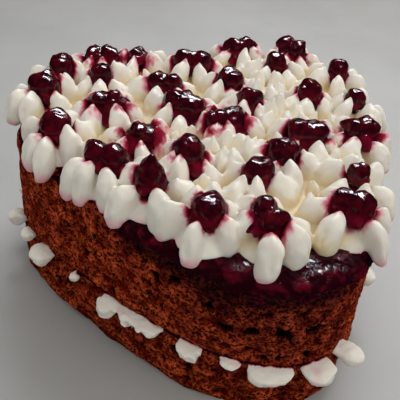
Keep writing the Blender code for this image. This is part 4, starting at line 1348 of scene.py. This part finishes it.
def softbox(name, toward, distance, width, height, power, colour, unseen_by):
    """An area light that looks at the cake from this direction."""
    data = bpy.data.lights.new(name, "AREA")
    data.shape = "RECTANGLE"
    data.size = width
    data.size_y = height
    data.energy = power
    data.color = colour
    lamp = bpy.data.objects.new(name, data)
    way = np.array(toward, float)
    way /= np.linalg.norm(way)
    back = Matrix(np.column_stack(basis_along(way)).tolist()).to_4x4()
    place = np.array(LAMP_TARGET) + way * distance
    lamp.matrix_world = Matrix.Translation(place.tolist()) @ back
    if unseen_by is not None:
        setattr(lamp, f"visible_{unseen_by}", False)
    bpy.context.scene.collection.objects.link(lamp)


def basis_along(way):
    """Right, up and backward vectors of something that looks along the reverse of way."""
    right = np.cross([0.0, 0.0, 1.0], way)
    right /= np.linalg.norm(right)
    return right, np.cross(way, right), way


def build_stage(colours):
    """A pale floor, a soft window light behind on the right, a sky above, a weak fill in front,
    a strip that shows only in reflections, and an even pale world."""
    scene = bpy.context.scene
    mesh = bpy.data.meshes.new("floor")
    corners = ((-1, -1), (1, -1), (1, 1), (-1, 1))
    mesh.from_pydata([(FLOOR_HALF * x, FLOOR_HALF * y, 0) for x, y in corners], [], [(0, 1, 2, 3)])
    floor = bpy.data.objects.new("floor", mesh)
    mesh.materials.append(studio_floor(colours))
    scene.collection.objects.link(floor)
    floor.visible_glossy = False
    for row in LAMPS:
        softbox(*row)
    world = bpy.data.worlds.new("studio")
    world.use_nodes = True
    air = world.node_tree.nodes["Background"]
    air.inputs["Color"].default_value = (*linear("#F2F2F0"), 1.0)
    air.inputs["Strength"].default_value = WORLD_STRENGTH
    scene.world = world
    world.cycles_visibility.glossy = False
    scene.view_settings.view_transform = "Standard"


def build_camera():
    """The camera at the photograph's bearing, elevation, roll and lens."""
    bearing = math.radians(CAMERA_BEARING_DEG)
    tilt = math.radians(CAMERA_ELEVATION_DEG)
    level = np.array([math.cos(bearing), math.sin(bearing), 0.0])
    flat = math.cos(tilt)
    ahead = np.array([-math.sin(bearing) * flat, math.cos(bearing) * flat, -math.sin(tilt)])
    over = np.cross(level, ahead)
    c, s = math.cos(math.radians(CAMERA_ROLL_DEG)), math.sin(math.radians(CAMERA_ROLL_DEG))
    right, up = c * level + s * over, -s * level + c * over
    data = bpy.data.cameras.new("camera")
    data.lens = CAMERA_LENS
    data.sensor_width = CAMERA_SENSOR
    data.clip_start = 0.01
    camera = bpy.data.objects.new("camera", data)
    turn = Matrix(np.column_stack([right, up, -ahead]).tolist()).to_4x4()
    place = (np.array(CAMERA_PLACE) + SHIFT) * MM
    camera.matrix_world = Matrix.Translation(place.tolist()) @ turn
    bpy.context.scene.collection.objects.link(camera)
    bpy.context.scene.camera = camera


SHIFT = frame_shift()


class Builder:
    """What each operator of the cake does: builds its pieces from the sidebar's settings."""

    def execute(self, context):
        self.build(context.scene.cake_colours, context.scene.cake_sizes)
        return {"FINISHED"}


class CAKE_OT_sponges(Builder, bpy.types.Operator):
    """Builds the two porous chocolate sponges"""

    bl_idname = "cake.sponges"
    bl_label = "Sponges"

    def build(self, colours, sizes):
        rng = np.random.default_rng(SEED)
        for layer in SPONGES:
            build_sponge(layer, chocolate_crumb(colours, layer.shaded), rng, sizes)


class CAKE_OT_cream(Builder, bpy.types.Operator):
    """Builds the piped flowers and the filling"""

    bl_idname = "cake.cream"
    bl_label = "Cream"

    def build(self, colours, sizes):
        look = whipped_cream(colours)
        build_cream(look, sizes)
        build_filling(look)


class CAKE_OT_jam(Builder, bpy.types.Operator):
    """Builds the jam on the top and down the rim"""

    bl_idname = "cake.jam"
    bl_label = "Jam"

    def build(self, colours, sizes):
        build_jam(berry_jam(colours), sizes)


class CAKE_OT_berries(Builder, bpy.types.Operator):
    """Builds the glazed berries and the jam they sit in"""

    bl_idname = "cake.berries"
    bl_label = "Berries"

    def build(self, colours, sizes):
        look = glazed_berry(colours)
        build_berries(look, sizes)
        build_pools(look)


class CAKE_OT_stage(Builder, bpy.types.Operator):
    """Builds the floor, the lights and the camera"""

    bl_idname = "cake.stage"
    bl_label = "Stage"

    def build(self, colours, sizes):
        build_stage(colours)
        build_camera()


class CAKE_PT_panel(bpy.types.Panel):
    """Lists the cake's pieces, sizes and colours"""

    bl_idname = "CAKE_PT_panel"
    bl_label = "Heart cake"
    bl_space_type = "VIEW_3D"
    bl_region_type = "UI"
    bl_category = "Cake"

    def draw(self, context):
        layout = self.layout
        for operator in OPERATORS:
            layout.operator(operator.bl_idname)
        for group in (context.scene.cake_sizes, context.scene.cake_colours):
            box = layout.box()
            for name in group.__annotations__:
                box.prop(group, name)


OPERATORS = (CAKE_OT_sponges, CAKE_OT_cream, CAKE_OT_jam, CAKE_OT_berries, CAKE_OT_stage)
CLASSES = (CakeSizes, CakeColours, *OPERATORS, CAKE_PT_panel)


def register():
    """Makes the operators, the panel and the settings known to Blender."""
    for each in CLASSES:
        bpy.utils.register_class(each)
    bpy.types.Scene.cake_sizes = PointerProperty(type=CakeSizes)
    bpy.types.Scene.cake_colours = PointerProperty(type=CakeColours)


def unregister():
    """Takes them away again."""
    del bpy.types.Scene.cake_sizes
    del bpy.types.Scene.cake_colours
    for each in reversed(CLASSES):
        bpy.utils.unregister_class(each)


def main():
    """Builds every piece in order."""
    register()
    bpy.ops.cake.stage()
    bpy.ops.cake.sponges()
    bpy.ops.cake.jam()
    bpy.ops.cake.cream()
    bpy.ops.cake.berries()


if __name__ == "__main__":
    main()
